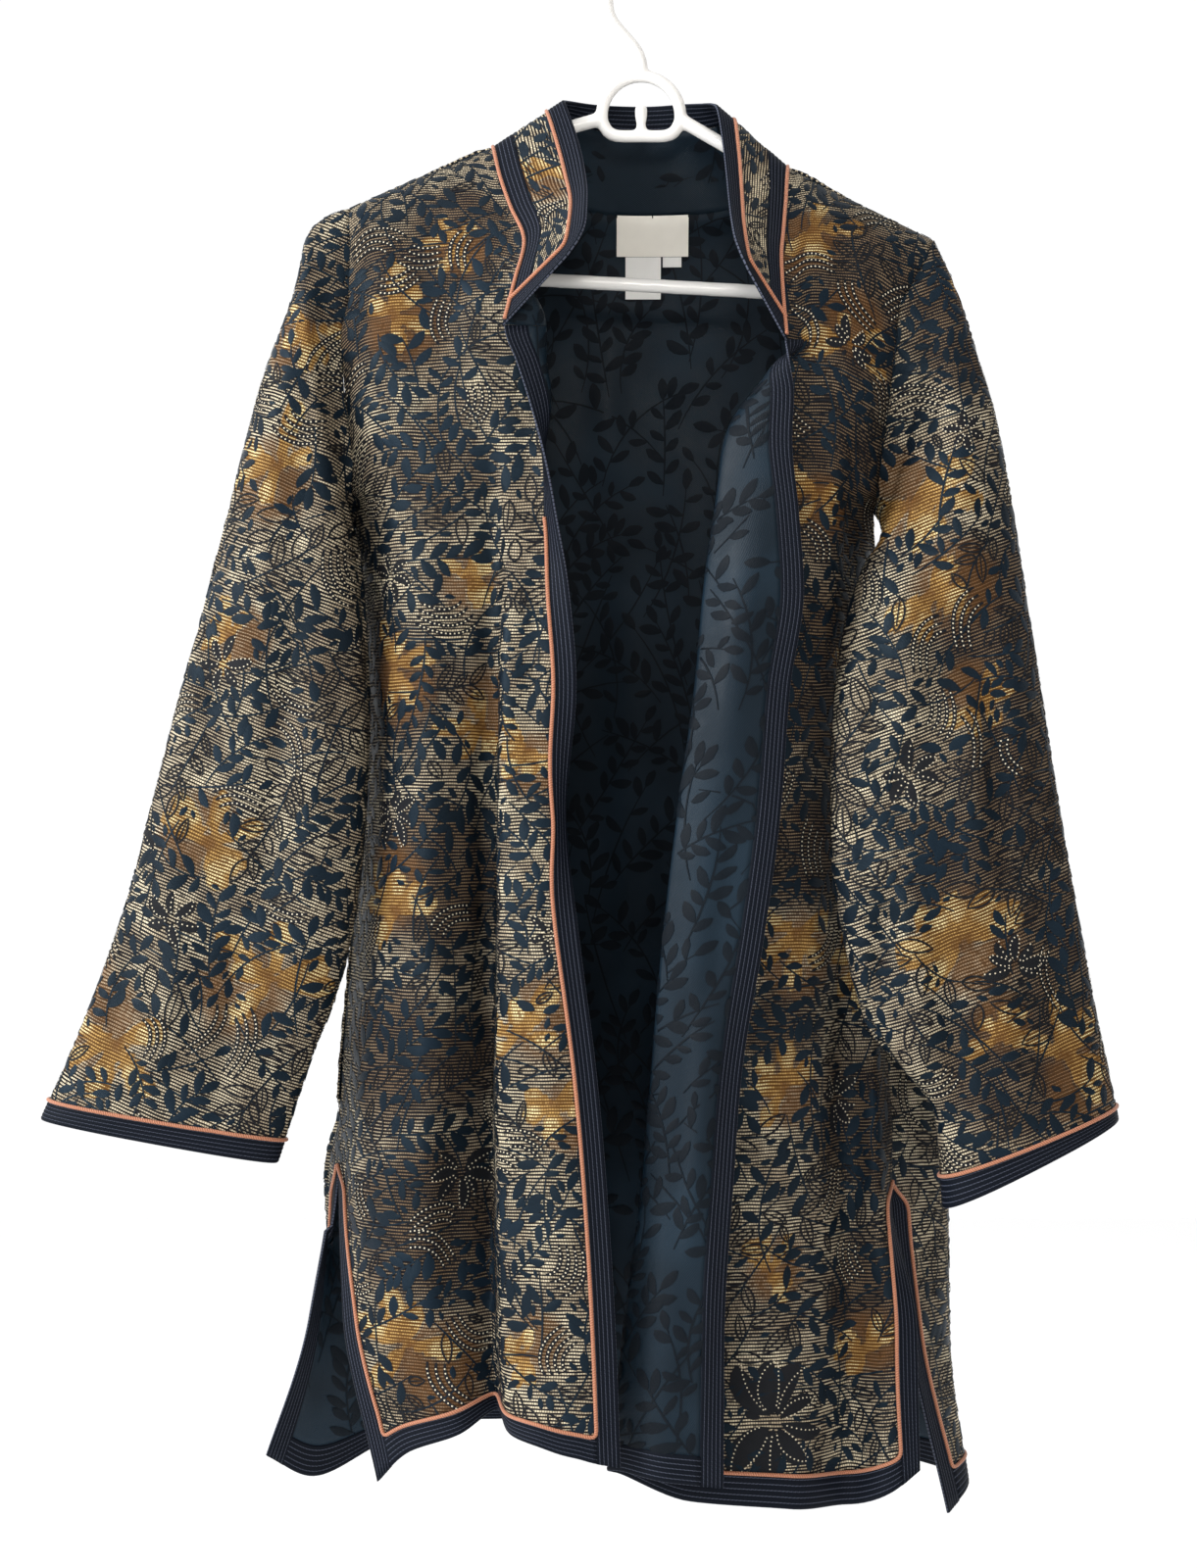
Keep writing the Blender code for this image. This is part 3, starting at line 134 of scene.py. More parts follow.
# Back: columns from the left armhole and side seam, across the back, to the right.
BACK = [
    [(357, 214, 1), (430, 181, 1), (503, 152, 2), (540, 185, 34), (590, 213, 53), (655, 222, 60),
     (720, 218, 53), (772, 203, 34), (803, 172, 2), (879, 211, 1), (951, 246, 1)],
    [(357, 255, 20), (430, 227, 34), (498, 206, 45), (542, 220, 54), (592, 240, 61), (655, 248, 64),
     (720, 245, 61), (770, 235, 54), (812, 225, 45), (880, 258, 34), (934, 282, 20)],
    [(355, 300, 28), (428, 285, 46), (495, 272, 57), (543, 278, 63), (594, 287, 67), (655, 292, 69),
     (716, 291, 67), (767, 287, 63), (812, 282, 57), (872, 298, 46), (919, 309, 28)],
    [(347, 345, 32), (425, 345, 51), (492, 345, 62), (543, 347, 68), (596, 349, 71), (655, 350, 72),
     (713, 351, 71), (764, 352, 68), (812, 354, 61), (868, 358, 50), (914, 363, 31)],
    [(349, 372, 32), (422, 372, 52), (490, 372, 64), (542, 373, 70), (597, 375, 73), (654, 376, 74),
     (712, 377, 73), (764, 378, 69), (813, 380, 62), (867, 383, 50), (911, 387, 30)],
    [(351, 400, 31), (420, 400, 53), (488, 400, 65), (542, 401, 71), (597, 402, 74), (652, 403, 75),
     (710, 404, 74), (764, 405, 70), (814, 406, 63), (866, 408, 50), (908, 411, 28)],
    [(358, 500, 28), (408, 482, 52), (482, 464, 66), (540, 460, 72), (595, 460, 75), (650, 460, 76),
     (708, 460, 75), (764, 460, 71), (820, 464, 63), (868, 482, 50), (897, 500, 24)],
    [(361, 522, 6), (400, 521, 44), (470, 520, 65), (532, 520, 73), (590, 520, 77), (646, 520, 78),
     (706, 521, 77), (766, 522, 73), (828, 523, 64), (880, 524, 42), (893, 525, -2)],
    [(366, 600, 8), (386, 600, 42), (455, 600, 66), (522, 600, 76), (583, 600, 80), (641, 600, 80),
     (702, 600, 80), (770, 600, 76), (848, 600, 64), (903, 600, 34), (895, 600, 10)],
    [(366, 700, 8), (385, 700, 44), (450, 700, 70), (516, 700, 78), (578, 700, 80), (638, 700, 82),
     (700, 700, 84), (774, 700, 80), (858, 700, 64), (913, 700, 32), (897, 700, 8)],
    [(364, 830, 7), (383, 830, 46), (446, 830, 74), (510, 830, 80), (573, 830, 82), (635, 830, 88),
     (700, 830, 90), (780, 830, 82), (870, 830, 65), (926, 830, 28), (899, 830, 0)],
    [(360, 950, 6), (376, 950, 48), (441, 950, 78), (505, 950, 82), (570, 950, 84), (634, 950, 92),
     (702, 950, 94), (786, 950, 84), (882, 950, 66), (940, 950, 24), (901, 950, -6)],
    [(350, 1100, 5), (360, 1100, 48), (433, 1100, 84), (498, 1100, 84), (566, 1100, 86),
     (634, 1100, 98), (705, 1100, 100), (793, 1100, 84), (894, 1100, 68), (956, 1100, 18),
     (904, 1100, -15)],
    [(346, 1190, 3), (337, 1200, 40), (424, 1200, 88), (494, 1200, 86), (563, 1200, 88),
     (634, 1200, 102), (708, 1200, 104), (798, 1200, 84), (902, 1202, 68), (965, 1207, 16),
     (906, 1207, -22)],
    [(318, 1345, 36), (345, 1352, 68), (414, 1360, 94), (488, 1362, 86), (560, 1365, 90),
     (634, 1368, 108), (712, 1370, 108), (804, 1370, 84), (908, 1368, 68), (967, 1362, 16),
     (925, 1360, -34)],
    [(270, 1484, 58), (322, 1506, 78), (400, 1468, 98), (482, 1448, 86), (558, 1446, 92),
     (634, 1448, 112), (714, 1450, 110), (808, 1458, 84), (906, 1482, 66), (987, 1512, 18),
     (966, 1545, -12)],
]

# Sleeves: outer edge, inner edge, then in mm the swell to the front and to the back, and how far
# the back half stands away from the body.
LEFT_SLEEVE = [
    ((332, 222, 0), (352, 534, -2), 30, 31, 3),
    ((312, 243, -3), (354, 548, -11), 35, 36, 5),
    ((302, 290, -7), (357, 568, -18), 38, 40, 5),
    ((287, 345, -10), (359, 592, -24), 38, 41, 3),
    ((268, 402, -12), (361, 622, -29), 36, 39, 1),
    ((246, 478, -15), (363, 667, -33), 33, 35, 0),
    ((222, 570, -18), (364, 735, -37), 31, 32, 0),
    ((200, 655, -21), (362, 810, -39), 29, 30, 0),
    ((178, 740, -24), (358, 882, -40), 27, 27, 0),
    ((150, 845, -27), (350, 955, -41), 25, 24, 0),
    ((118, 955, -30), (336, 1022, -42), 23, 22, 0),
    ((80, 1058, -32), (314, 1088, -43), 22, 20, 0),
    ((43, 1142, -34), (282, 1186, -44), 21, 19, 0),
]
RIGHT_SLEEVE = [
    ((966, 276, -4), (899, 542, -10), 27, 31, 8),
    ((982, 312, -9), (892, 558, -18), 31, 35, 12),
    ((996, 358, -17), (882, 578, -27), 34, 37, 12),
    ((1011, 414, -26), (872, 604, -37), 35, 36, 8),
    ((1024, 475, -33), (863, 634, -45), 34, 31, 5),
    ((1035, 540, -39), (856, 674, -53), 33, 26, 2),
    ((1045, 610, -44), (851, 727, -61), 32, 22, 0),
    ((1058, 690, -49), (848, 797, -68), 31, 20, 0),
    ((1070, 765, -53), (849, 872, -73), 29, 18, 0),
    ((1083, 845, -56), (860, 950, -78), 27, 16, 0),
    ((1102, 952, -58), (886, 1047, -82), 27, 16, 0),
    ((1118, 1040, -60), (924, 1092, -83), 28, 18, 0),
    ((1130, 1095, -60), (954, 1136, -79), 30, 22, 0),
    ((1139, 1142, -60), (963, 1232, -74), 32, 24, 0),
]

# Collar: where its foot stands on the neck seam (piece, share of the seam from the shoulder),
# and its upper edge.
COLLAR = [
    ("left", 1.00, (590, 248, -98)),
    ("left", 0.80, (598, 222, -88)),
    ("left", 0.60, (599, 196, -70)),
    ("left", 0.40, (596, 170, -47)),
    ("left", 0.20, (589, 140, -28)),
    ("left", 0.00, (576, 103, -2)),
    ("back", 0.20, (592, 105, 20)),
    ("back", 0.36, (620, 108, 34)),
    ("back", 0.50, (655, 109, 40)),
    ("back", 0.64, (690, 107, 34)),
    ("back", 0.80, (713, 106, 20)),
    ("right", 0.00, (729, 107, -2)),
    ("right", 0.20, (737, 145, -26)),
    ("right", 0.40, (741, 180, -44)),
    ("right", 0.60, (744, 210, -60)),
    ("right", 0.80, (748, 236, -76)),
    ("right", 1.00, (756, 262, -90)),
]
NECK_BAND_TOP = 0.28

# Hanger: view points of the wire's centre line; radii across and up in metres.
HOOK_RING_CENTRE = (655, -12)
HOOK_RING_RADIUS = 35
HOOK_WIRE = 0.0043
STEM = [(619, -2), (619, 8), (622, 20), (636, 36), (650, 51), (655, 62), (655, 77)]
RING_CENTRE = (654, 118)
RING_RADIUS = 40
RING_FOOT = 139
POST_TOP = 112
ARM_LEFT = [(611, 122), (581, 130), (545, 148), (505, 168), (440, 191), (400, 208), (378, 219)]
ARM_RIGHT = [(697, 124), (728, 142), (765, 163), (805, 187), (870, 219), (905, 236), (924, 247)]
BAR_LEFT = (374, 262)
BAR_RIGHT = (926, 292)
BAR_LINE = [(392, 279), (560, 286), (761, 297), (908, 308)]


def sided(groups):
    """The creases of all sides in one list: side, line, width and depth."""
    return [(side, *crease) for side, creases in groups.items() for crease in creases]


# Creases: the side of the cloth they are on, their line in the front view, width and depth in mm.
# A depth above 0 stands outwards from the cloth, one below 0 sinks in.
LEFT_CREASES = sided({
    "front": [
        ([(506, 420), (499, 640), (496, 860), (498, 1090)], 9, -5.5),
        ([(521, 385), (515, 640), (513, 900), (514, 1300)], 7, 2.5),
        ([(447, 540), (438, 760), (432, 1110)], 19, 4.5),
        ([(374, 430), (378, 700), (376, 1010)], 12, -5.0),
        ([(470, 1080), (458, 1280), (452, 1440)], 13, -4.5),
        ([(404, 1160), (398, 1300), (396, 1440)], 14, 3.5),
        ([(428, 205), (446, 310), (452, 430)], 16, -3.0),
        ([(396, 225), (394, 350), (400, 480)], 15, 3.0),
        ([(492, 235), (470, 290), (452, 350)], 9, -2.5),
        ([(352, 300), (378, 318), (408, 332)], 7, -2.0),
        ([(354, 385), (380, 398), (412, 402)], 7, -2.0),
        ([(560, 960), (568, 1150), (578, 1340)], 14, 2.5),
        ([(548, 560), (541, 700), (543, 830)], 9, -2.5),
        ([(486, 925), (500, 932), (512, 930)], 5, -2.5),
        ([(418, 620), (414, 760), (404, 900)], 8, -2.5),
        ([(540, 1180), (536, 1320), (538, 1450)], 9, -2.5),
    ],
    "both": [
        ([(368, 480), (362, 560), (362, 650)], 8, 3.0),
    ],
})

RIGHT_CREASES = sided({
    "front": [
        ([(842, 540), (834, 700), (832, 905)], 9, -4.0),
        ([(856, 400), (852, 540), (846, 705)], 12, 3.0),
        ([(868, 990), (864, 1110), (868, 1250)], 12, -6.0),
        ([(926, 1075), (918, 1160), (922, 1240)], 16, 4.0),
        ([(804, 890), (786, 1010), (772, 1140)], 10, -4.0),
        ([(792, 1140), (780, 1280), (776, 1430)], 14, 4.0),
        ([(820, 1120), (812, 1280), (814, 1450)], 10, -4.0),
        ([(848, 1240), (852, 1360), (858, 1480)], 12, 3.0),
        ([(890, 1250), (894, 1340), (896, 1440)], 8, -3.0),
        ([(846, 225), (864, 280), (882, 340)], 10, -2.5),
        ([(914, 250), (898, 330), (892, 420)], 9, -2.0),
        ([(872, 420), (868, 520), (862, 600)], 8, -2.5),
    ],
    "back": [
        ([(772, 510), (756, 640), (742, 770)], 14, -3.5),
        ([(758, 790), (738, 920), (716, 1060)], 12, 4.0),
        ([(738, 990), (716, 1150), (702, 1310)], 10, -3.0),
        ([(702, 1010), (694, 1180), (690, 1360)], 9, 3.0),
        ([(728, 1240), (716, 1360), (712, 1470)], 8, -2.5),
    ],
})

BACK_CREASES = sided({
    "back": [
        ([(604, 480), (596, 720), (590, 1010)], 22, 5.0),
        ([(652, 600), (648, 940), (644, 1320)], 18, -5.0),
        ([(562, 700), (552, 980), (544, 1270)], 16, 4.0),
        ([(704, 450), (714, 680), (722, 910)], 18, -4.0),
        ([(486, 500), (470, 900), (458, 1410)], 20, 6.0),
        ([(418, 620), (408, 980), (398, 1420)], 15, -5.0),
        ([(776, 600), (790, 980), (806, 1420)], 20, 5.0),
        ([(846, 620), (858, 1000), (872, 1420)], 16, -5.0),
        ([(926, 900), (940, 1180), (950, 1450)], 15, 4.0),
        ([(352, 940), (334, 1200), (318, 1470)], 15, 4.0),
        ([(440, 245), (452, 330), (474, 430)], 14, -3.0),
        ([(800, 245), (784, 340), (760, 440)], 14, -3.0),
        ([(622, 330), (618, 410), (622, 500)], 12, -3.0),
        ([(520, 300), (512, 400), (516, 520)], 12, 3.0),
        ([(712, 1080), (706, 1260), (700, 1450)], 14, 4.0),
        ([(600, 1180), (606, 1330), (604, 1470)], 12, -4.0),
    ],
})

LEFT_SLEEVE_CREASES = sided({
    "front": [
        ([(352, 420), (350, 640), (344, 880)], 10, -4.0),
        ([(320, 290), (310, 430), (300, 570)], 13, -4.0),
        ([(288, 320), (276, 480), (260, 650)], 14, 4.0),
        ([(306, 590), (286, 760), (262, 940)], 11, -4.5),
        ([(330, 690), (318, 880), (298, 1070)], 13, 4.0),
        ([(238, 510), (216, 690), (188, 870)], 10, -4.0),
        ([(216, 640), (190, 800), (158, 970)], 13, 4.0),
        ([(152, 850), (130, 980), (104, 1110)], 10, -3.5),
        ([(252, 920), (236, 1030), (216, 1160)], 9, -3.5),
        ([(194, 920), (174, 1030), (152, 1130)], 12, 3.5),
        ([(216, 556), (250, 586), (292, 606)], 8, -3.0),
        ([(192, 690), (222, 712), (256, 718)], 7, -2.5),
        ([(262, 470), (288, 500), (318, 512)], 8, 2.5),
        ([(336, 212), (318, 250), (304, 310)], 9, -2.5),
    ],
    "back": [
        ([(304, 350), (288, 500), (266, 650)], 14, -4.0),
        ([(252, 520), (228, 700), (198, 910)], 14, 5.0),
        ([(292, 620), (268, 810), (238, 1010)], 12, -4.0),
        ([(184, 800), (158, 940), (128, 1090)], 12, -4.0),
        ([(252, 900), (234, 1020), (214, 1150)], 10, 3.0),
    ],
    "both": [
        ([(358, 400), (360, 520), (360, 640), (357, 800), (351, 920), (340, 1060)], 15, 8.5),
    ],
})

RIGHT_SLEEVE_CREASES = sided({
    "front": [
        ([(896, 650), (892, 710), (890, 775)], 8, -3.5),
        ([(864, 795), (872, 840), (884, 890)], 7, -4.0),
        ([(906, 905), (896, 1010), (890, 1120)], 10, -6.0),
        ([(1010, 690), (1018, 800), (1026, 910)], 9, -4.5),
        ([(986, 690), (994, 810), (1000, 940)], 12, 4.0),
        ([(932, 550), (926, 650), (926, 770)], 12, 4.0),
        ([(948, 410), (942, 510), (934, 610)], 10, -4.0),
        ([(976, 370), (984, 500), (986, 650)], 14, 4.0),
        ([(1018, 560), (1030, 690), (1042, 830)], 12, 3.5),
        ([(1058, 850), (1074, 960), (1088, 1090)], 10, -4.0),
        ([(1008, 950), (1026, 1040), (1044, 1140)], 13, 4.0),
        ([(960, 970), (972, 1080), (990, 1190)], 10, -4.0),
        ([(926, 890), (934, 990), (948, 1090)], 12, 4.0),
        ([(968, 285), (982, 340), (994, 410)], 9, -3.0),
        ([(868, 756), (896, 782), (934, 802)], 7, -3.0),
        ([(862, 838), (892, 856), (928, 862)], 6, -2.5),
        ([(868, 900), (900, 918), (936, 926)], 6, 2.5),
    ],
    "back": [
        ([(1002, 420), (1010, 560), (1022, 710)], 14, -4.0),
        ([(952, 500), (946, 650), (940, 810)], 14, 4.0),
        ([(1042, 700), (1056, 850), (1072, 1010)], 12, -4.0),
        ([(962, 820), (972, 960), (988, 1110)], 12, -4.0),
        ([(902, 650), (894, 770), (890, 900)], 10, 3.0),
    ],
})

# Half of a cloth's own thickness, and of a band's, which is folded double.
HALF_CLOTH = 0.0007
HALF_BAND = 0.0011
# The spacing of a panel's net, and how far a woven figure stands proud.
CELL = 0.0039
FIGURE_LIFT = 0.00032
# Cloths by the name of their CAD node, and finished pieces by their own name.
cloths, made = {}, {}


EYE_X = (VIEW_CENTRE[0] - HOOK_UNDERSIDE[0]) * STEP
EYE_Z = (HOOK_UNDERSIDE[1] - VIEW_CENTRE[1]) * STEP


def seen_at(point):
    """The place of a point of the front view that lies its own depth behind the hook's plane."""
    x, y, depth_mm = point
    depth = depth_mm / 1000.0
    spread = (EYE_DISTANCE + depth) / EYE_DISTANCE
    return np.array([
        EYE_X + (x - VIEW_CENTRE[0]) * STEP * spread,
        depth,
        EYE_Z - (y - VIEW_CENTRE[1]) * STEP * spread,
    ])


def view_of(points):
    """Where points are seen in the front view, in its steps."""
    spread = (EYE_DISTANCE + points[..., 1]) / EYE_DISTANCE * STEP
    return np.stack([
        VIEW_CENTRE[0] + (points[..., 0] - EYE_X) / spread,
        VIEW_CENTRE[1] - (points[..., 2] - EYE_Z) / spread,
    ], axis=-1)


def places(rows):
    return np.array([[seen_at(point) for point in row] for row in rows])


def steps_of(line):
    """The distances between a line's neighbouring points."""
    return np.linalg.norm(np.diff(line, axis=0), axis=1)


def lengths_along(line):
    """How far each point of a line lies along it."""
    return np.concatenate([[0.0], np.cumsum(steps_of(line))])


def net_of(across, down):
    """Every pair of a value across and a value down, as two tables."""
    return np.tile(across, (len(down), 1)), np.tile(down[:, None], (1, len(across)))


def ways_of(angles):
    return np.stack([np.cos(angles), np.sin(angles)], axis=-1)


def beside(ways):
    """The ways turned left by a right angle."""
    return np.stack([-ways[:, 1], ways[:, 0]], axis=-1)


def flowing(knots, values, at):
    """Values between the knots along a curve that never swings past them."""
    knots = np.asarray(knots, float)
    values = np.asarray(values, float)
    at = np.clip(np.asarray(at, float), knots[0], knots[-1])
    step = np.diff(knots)
    shape = (-1,) + (1,) * (values.ndim - 1)
    rise = np.diff(values, axis=0) / step.reshape(shape)
    slope = np.zeros_like(values)
    before, after = rise[:-1], rise[1:]
    same_way = before * after > 0
    total = np.where(same_way, before + after, 1.0)
    slope[1:-1] = np.where(same_way, 2.0 * before * after / total, 0.0)
    slope[0], slope[-1] = rise[0], rise[-1]
    index = np.clip(np.searchsorted(knots, at, side="right") - 1, 0, len(knots) - 2)
    part = ((at - knots[index]) / step[index]).reshape(shape)
    width = step[index].reshape(shape)
    low, high = values[index], values[index + 1]
    low_slope, high_slope = slope[index], slope[index + 1]
    square, cube = part ** 2, part ** 3
    return ((2 * cube - 3 * square + 1) * low + (cube - 2 * square + part) * width * low_slope
            + (3 * square - 2 * cube) * high + (cube - square) * width * high_slope)


def mean_knots(points, axis):
    """Knots from 0 to 1 by the mean distance between neighbouring lines of a net."""
    other = 1 - axis
    steps = np.linalg.norm(np.diff(points, axis=axis), axis=2).mean(axis=other)
    knots = np.concatenate([[0.0], np.cumsum(steps)])
    return knots / knots[-1]


def round_loops(rings, count):
    """Smooth closed loops through the points of each ring."""
    at = np.arange(count) * rings.shape[1] / count
    first = at.astype(int)
    t = (at - first)[None, :, None]
    p0, p1, p2, p3 = (np.roll(rings, 1 - k, axis=1)[:, first] for k in range(4))
    return 0.5 * (2 * p1 + (p2 - p0) * t + (2 * p0 - 5 * p1 + 4 * p2 - p3) * t ** 2
                  + (3 * p1 - p0 - 3 * p2 + p3) * t ** 3)


def softened(table, passes, ring=False):
    """The table with its small kinks evened out; its outer lines stay where they are."""
    for _ in range(passes):
        table = table.copy()
        table[1:-1] = table[1:-1] * 0.5 + (table[:-2] + table[2:]) * 0.25
        if ring:
            table = table * 0.5 + (np.roll(table, 1, axis=1) + np.roll(table, -1, axis=1)) * 0.25
        else:
            table[:, 1:-1] = table[:, 1:-1] * 0.5 + (table[:, :-2] + table[:, 2:]) * 0.25
    return table


def crease_depth(view, facing_back, creases):
    """Metres that each point moves outwards, by the creases that run near it in the front view."""
    moved = np.zeros(view.shape[:-1])
    for side, line, width_mm, depth_mm in creases:
        here = {"back": facing_back, "front": ~facing_back, "both": True}[side]
        best = np.full(view.shape[:-1], 1e9)
        along = np.zeros(view.shape[:-1])
        corners = np.array(line, float)
        lengths = steps_of(corners)
        done = 0.0
        for start, end, length in zip(corners[:-1], corners[1:], lengths):
            way = (end - start) / length
            reach = view - start
            t = np.clip(reach[..., 0] * way[0] + reach[..., 1] * way[1], 0.0, length)
            far = np.hypot(reach[..., 0] - way[0] * t, reach[..., 1] - way[1] * t)
            nearer = far < best
            best = np.where(nearer, far, best)
            along = np.where(nearer, (done + t) / lengths.sum(), along)
            done += length
        width = width_mm / 1000.0 / STEP
        fade = np.clip(np.sin(math.pi * along), 0.0, 1.0) ** 0.7
        moved += np.where(here, fade * np.exp(-(best / width) ** 2), 0.0) * depth_mm / 1000.0
    return moved


# How a spot is found by its cloth measures: rounds, the longest stride of a round in u or v, and
# how many starts are compared at once.
FIND_ROUNDS = 6
FIND_STRIDE = 0.06
FIND_AT_ONCE = 2000


class Cloth:
    """A smooth cloth with its creases; u runs across it and v down it, both from 0 to 1."""

    def __init__(self, table, v_knots, towards, creases=(), ring=False, origin_u=0.5,
                 origin_v=0.45, grain="hanging"):
        self.ring = ring
        self.v_knots = v_knots
        self.rows, self.columns = table.shape[0] - 1, table.shape[1] - 1
        self.u_line = np.linspace(0.0, 1.0, self.columns + 1)
        self.v_line = np.linspace(0.0, 1.0, self.rows + 1)
        self.flip = 1.0
        normals = self.faced(table)
        middle = normals[self.rows // 2, self.columns // 4]
        self.flip = 1.0 if np.dot(middle, towards) > 0 else -1.0
        normals = normals * self.flip
        if creases:
            facing_back = normals[..., 1] > 0
            table = table + normals * crease_depth(view_of(table), facing_back, creases)[..., None]
        self.table = table
        self.normals = self.faced(table)
        self.measure(origin_u, origin_v, grain)

    def faced(self, table):
        if self.ring:
            wrapped = np.concatenate([table[:, -3:-1], table, table[:, 1:3]], axis=1)
            along_u = np.gradient(wrapped, axis=1)[:, 2:-2]
        else:
            along_u = np.gradient(table, axis=1)
        normal = np.cross(along_u, np.gradient(table, axis=0))
        return normal / np.maximum(np.linalg.norm(normal, axis=2, keepdims=True), 1e-12) * self.flip

    def measure(self, origin_u, origin_v, grain):
        """Cloth measures: a across and b down, in metres, as the weave runs."""
        table = self.table
        step_u, step_v = np.diff(table, axis=1), np.diff(table, axis=0)
        across = (step_u ** 2).sum(axis=2)
        i, j = int(round(origin_u * self.columns)), int(round(origin_v * self.rows))
        start = np.zeros((self.rows + 1, 1))
        turn = 1.0
        if isinstance(grain, tuple):
            # The grain of a sleeve runs straight down the arm, also where its rings are slanted.
            down = np.array(grain) / np.linalg.norm(grain)
            self.b = table @ down
            across = across - np.diff(self.b, axis=1) ** 2
            aside = np.array([-down[2], 0.0, down[0]])
        else:
            down = (step_v ** 2).sum(axis=2)
            aside = np.array([1.0, 0.0, 0.0])
            if grain == "hanging":
                # The weave of a hanging panel stays upright where its lines are slanted.
                down = down - step_v[..., 0] ** 2
                across = across - step_u[..., 2] ** 2
            down = np.sqrt(np.maximum(down, 1e-12))
            down = np.concatenate([np.zeros((1, self.columns + 1)), np.cumsum(down, axis=0)])
            self.b = down - down[j:j + 1]
            if grain == "hanging":
                self.b = self.b - table[j:j + 1, :, 2]
        if grain != "along":
            start = table[:, i:i + 1] @ aside
            turn = np.sign(np.sum(step_u[:, min(i, self.columns - 1)] @ aside))
        across = np.sqrt(np.maximum(across, 1e-12))
        across = np.concatenate([np.zeros((self.rows + 1, 1)), np.cumsum(across, axis=1)], axis=1)
        self.a = (across - across[:, i:i + 1]) * turn + start

    def find(self, weave, counts):
        """The u and v at which the cloth has the given measures; beyond its border they run on."""
        slopes = [np.gradient(self.a, axis=1) * self.columns, np.gradient(self.a, axis=0) * self.rows,
                  np.gradient(self.b, axis=1) * self.columns, np.gradient(self.b, axis=0) * self.rows]
        # A coarse net of spots to start from.
        picked = [(j, i) for j in range(0, self.rows + 1, 20) for i in range(0, self.columns + 1, 10)]
        spread = np.array([[self.a[j, i], self.b[j, i]] for j, i in picked])
        starts = np.array([[i / self.columns, j / self.rows] for j, i in picked])
        # One start for each net, at its middle corner.
        middles = weave[np.cumsum(counts) - np.array(counts) // 2 - 1]
        nearest = np.concatenate([
            np.argmin(((part[:, None] - spread[None]) ** 2).sum(axis=2), axis=1)
            for part in np.array_split(middles, max(1, len(middles) // FIND_AT_ONCE))])
        u, v = np.repeat(starts[nearest], counts, axis=0).T
        for _ in range(FIND_ROUNDS):
            near_u, near_v = np.clip(u, 0.0, 1.0), np.clip(v, 0.0, 1.0)
            a_u, a_v, b_u, b_v = (self.read(slope, near_u, near_v) for slope in slopes)
            a = self.read(self.a, near_u, near_v) + (u - near_u) * a_u + (v - near_v) * a_v
            b = self.read(self.b, near_u, near_v) + (u - near_u) * b_u + (v - near_v) * b_v
            off_a, off_b = weave[:, 0] - a, weave[:, 1] - b
            whole = a_u * b_v - a_v * b_u
            whole = np.where(np.abs(whole) < 1e-3, 1e-3, whole)
            u = u + np.clip((off_a * b_v - off_b * a_v) / whole, -FIND_STRIDE, FIND_STRIDE)
            v = v + np.clip((off_b * a_u - off_a * b_u) / whole, -FIND_STRIDE, FIND_STRIDE)
        return u, v

    def measures_at(self, x, y, side):
        """The cloth measures of the spot that is seen at x, y on its front or its back half."""
        view = view_of(self.table)
        far = np.hypot(view[..., 0] - x, view[..., 1] - y)
        wrong = self.normals[..., 1] < 0 if side == "back" else self.normals[..., 1] >= 0
        j, i = np.unravel_index(np.argmin(np.where(wrong, far + 1e4, far)), far.shape)
        return np.array([self.a[j, i], self.b[j, i]])

    def read(self, table, u, v):
        u, v = np.broadcast_arrays(np.asarray(u, float), np.asarray(v, float))
        if self.ring:
            u = np.where((u < 0.0) | (u > 1.0), u - np.floor(u), u)
        p = np.clip(u, 0.0, 1.0) * self.columns
        q = np.clip(v, 0.0, 1.0) * self.rows
        i = np.minimum(p.astype(int), self.columns - 1)
        j = np.minimum(q.astype(int), self.rows - 1)
        p, q = p - i, q - j
        if table.ndim == 3:
            p, q = p[..., None], q[..., None]
        return ((1 - q) * ((1 - p) * table[j, i] + p * table[j, i + 1])
                + q * ((1 - p) * table[j + 1, i] + p * table[j + 1, i + 1]))

    def points(self, u, v):
        return self.read(self.table, u, v)

    def outward(self, u, v):
        normal = self.read(self.normals, u, v)
        return normal / np.linalg.norm(normal, axis=-1, keepdims=True)

    def lifted(self, u, v, height):
        height = np.asarray(height, float)
        return self.points(u, v) + self.outward(u, v) * height[..., None]

    def weave(self, u, v):
        return np.stack([self.read(self.a, u, v), self.read(self.b, u, v)], axis=-1)

    def u_inside(self, v, distance, from_end):
        """The u that lies a distance along the row at v from its first or last point."""
        order = self.u_line[::-1] if from_end else self.u_line
        row = self.points(order, np.full(order.shape, v))
        return float(np.interp(distance, lengths_along(row), order))


def fine_table(net, v_knots, rows, columns, passes):
    """A net of points filled out to a fine and smooth one."""
    down = flowing(v_knots, net, np.linspace(0.0, 1.0, rows + 1))
    across = flowing(mean_knots(net, 1), down.transpose(1, 0, 2), np.linspace(0.0, 1.0, columns + 1))
    return softened(across.transpose(1, 0, 2), passes)


def cloth_of(net, towards, v_knots, creases, origin_u=0.5, columns=300):
    """A body panel's cloth."""
    table = fine_table(net, v_knots, 800, columns, 6)
    cloth = Cloth(table, v_knots, towards, creases, origin_u=origin_u)
    cloth.u_knots = mean_knots(net, 1)
    return cloth


def grid_faces(rows, columns, ring=False):
    """Corner numbers of a net's quads; a ring joins its last column to its first."""
    across = columns if ring else columns - 1
    j, i = np.meshgrid(np.arange(rows - 1), np.arange(across), indexing="ij")
    n = (i + 1) % columns
    return np.stack([j * columns + i, j * columns + n, (j + 1) * columns + n, (j + 1) * columns + i],
                    axis=-1).reshape(-1, 4)


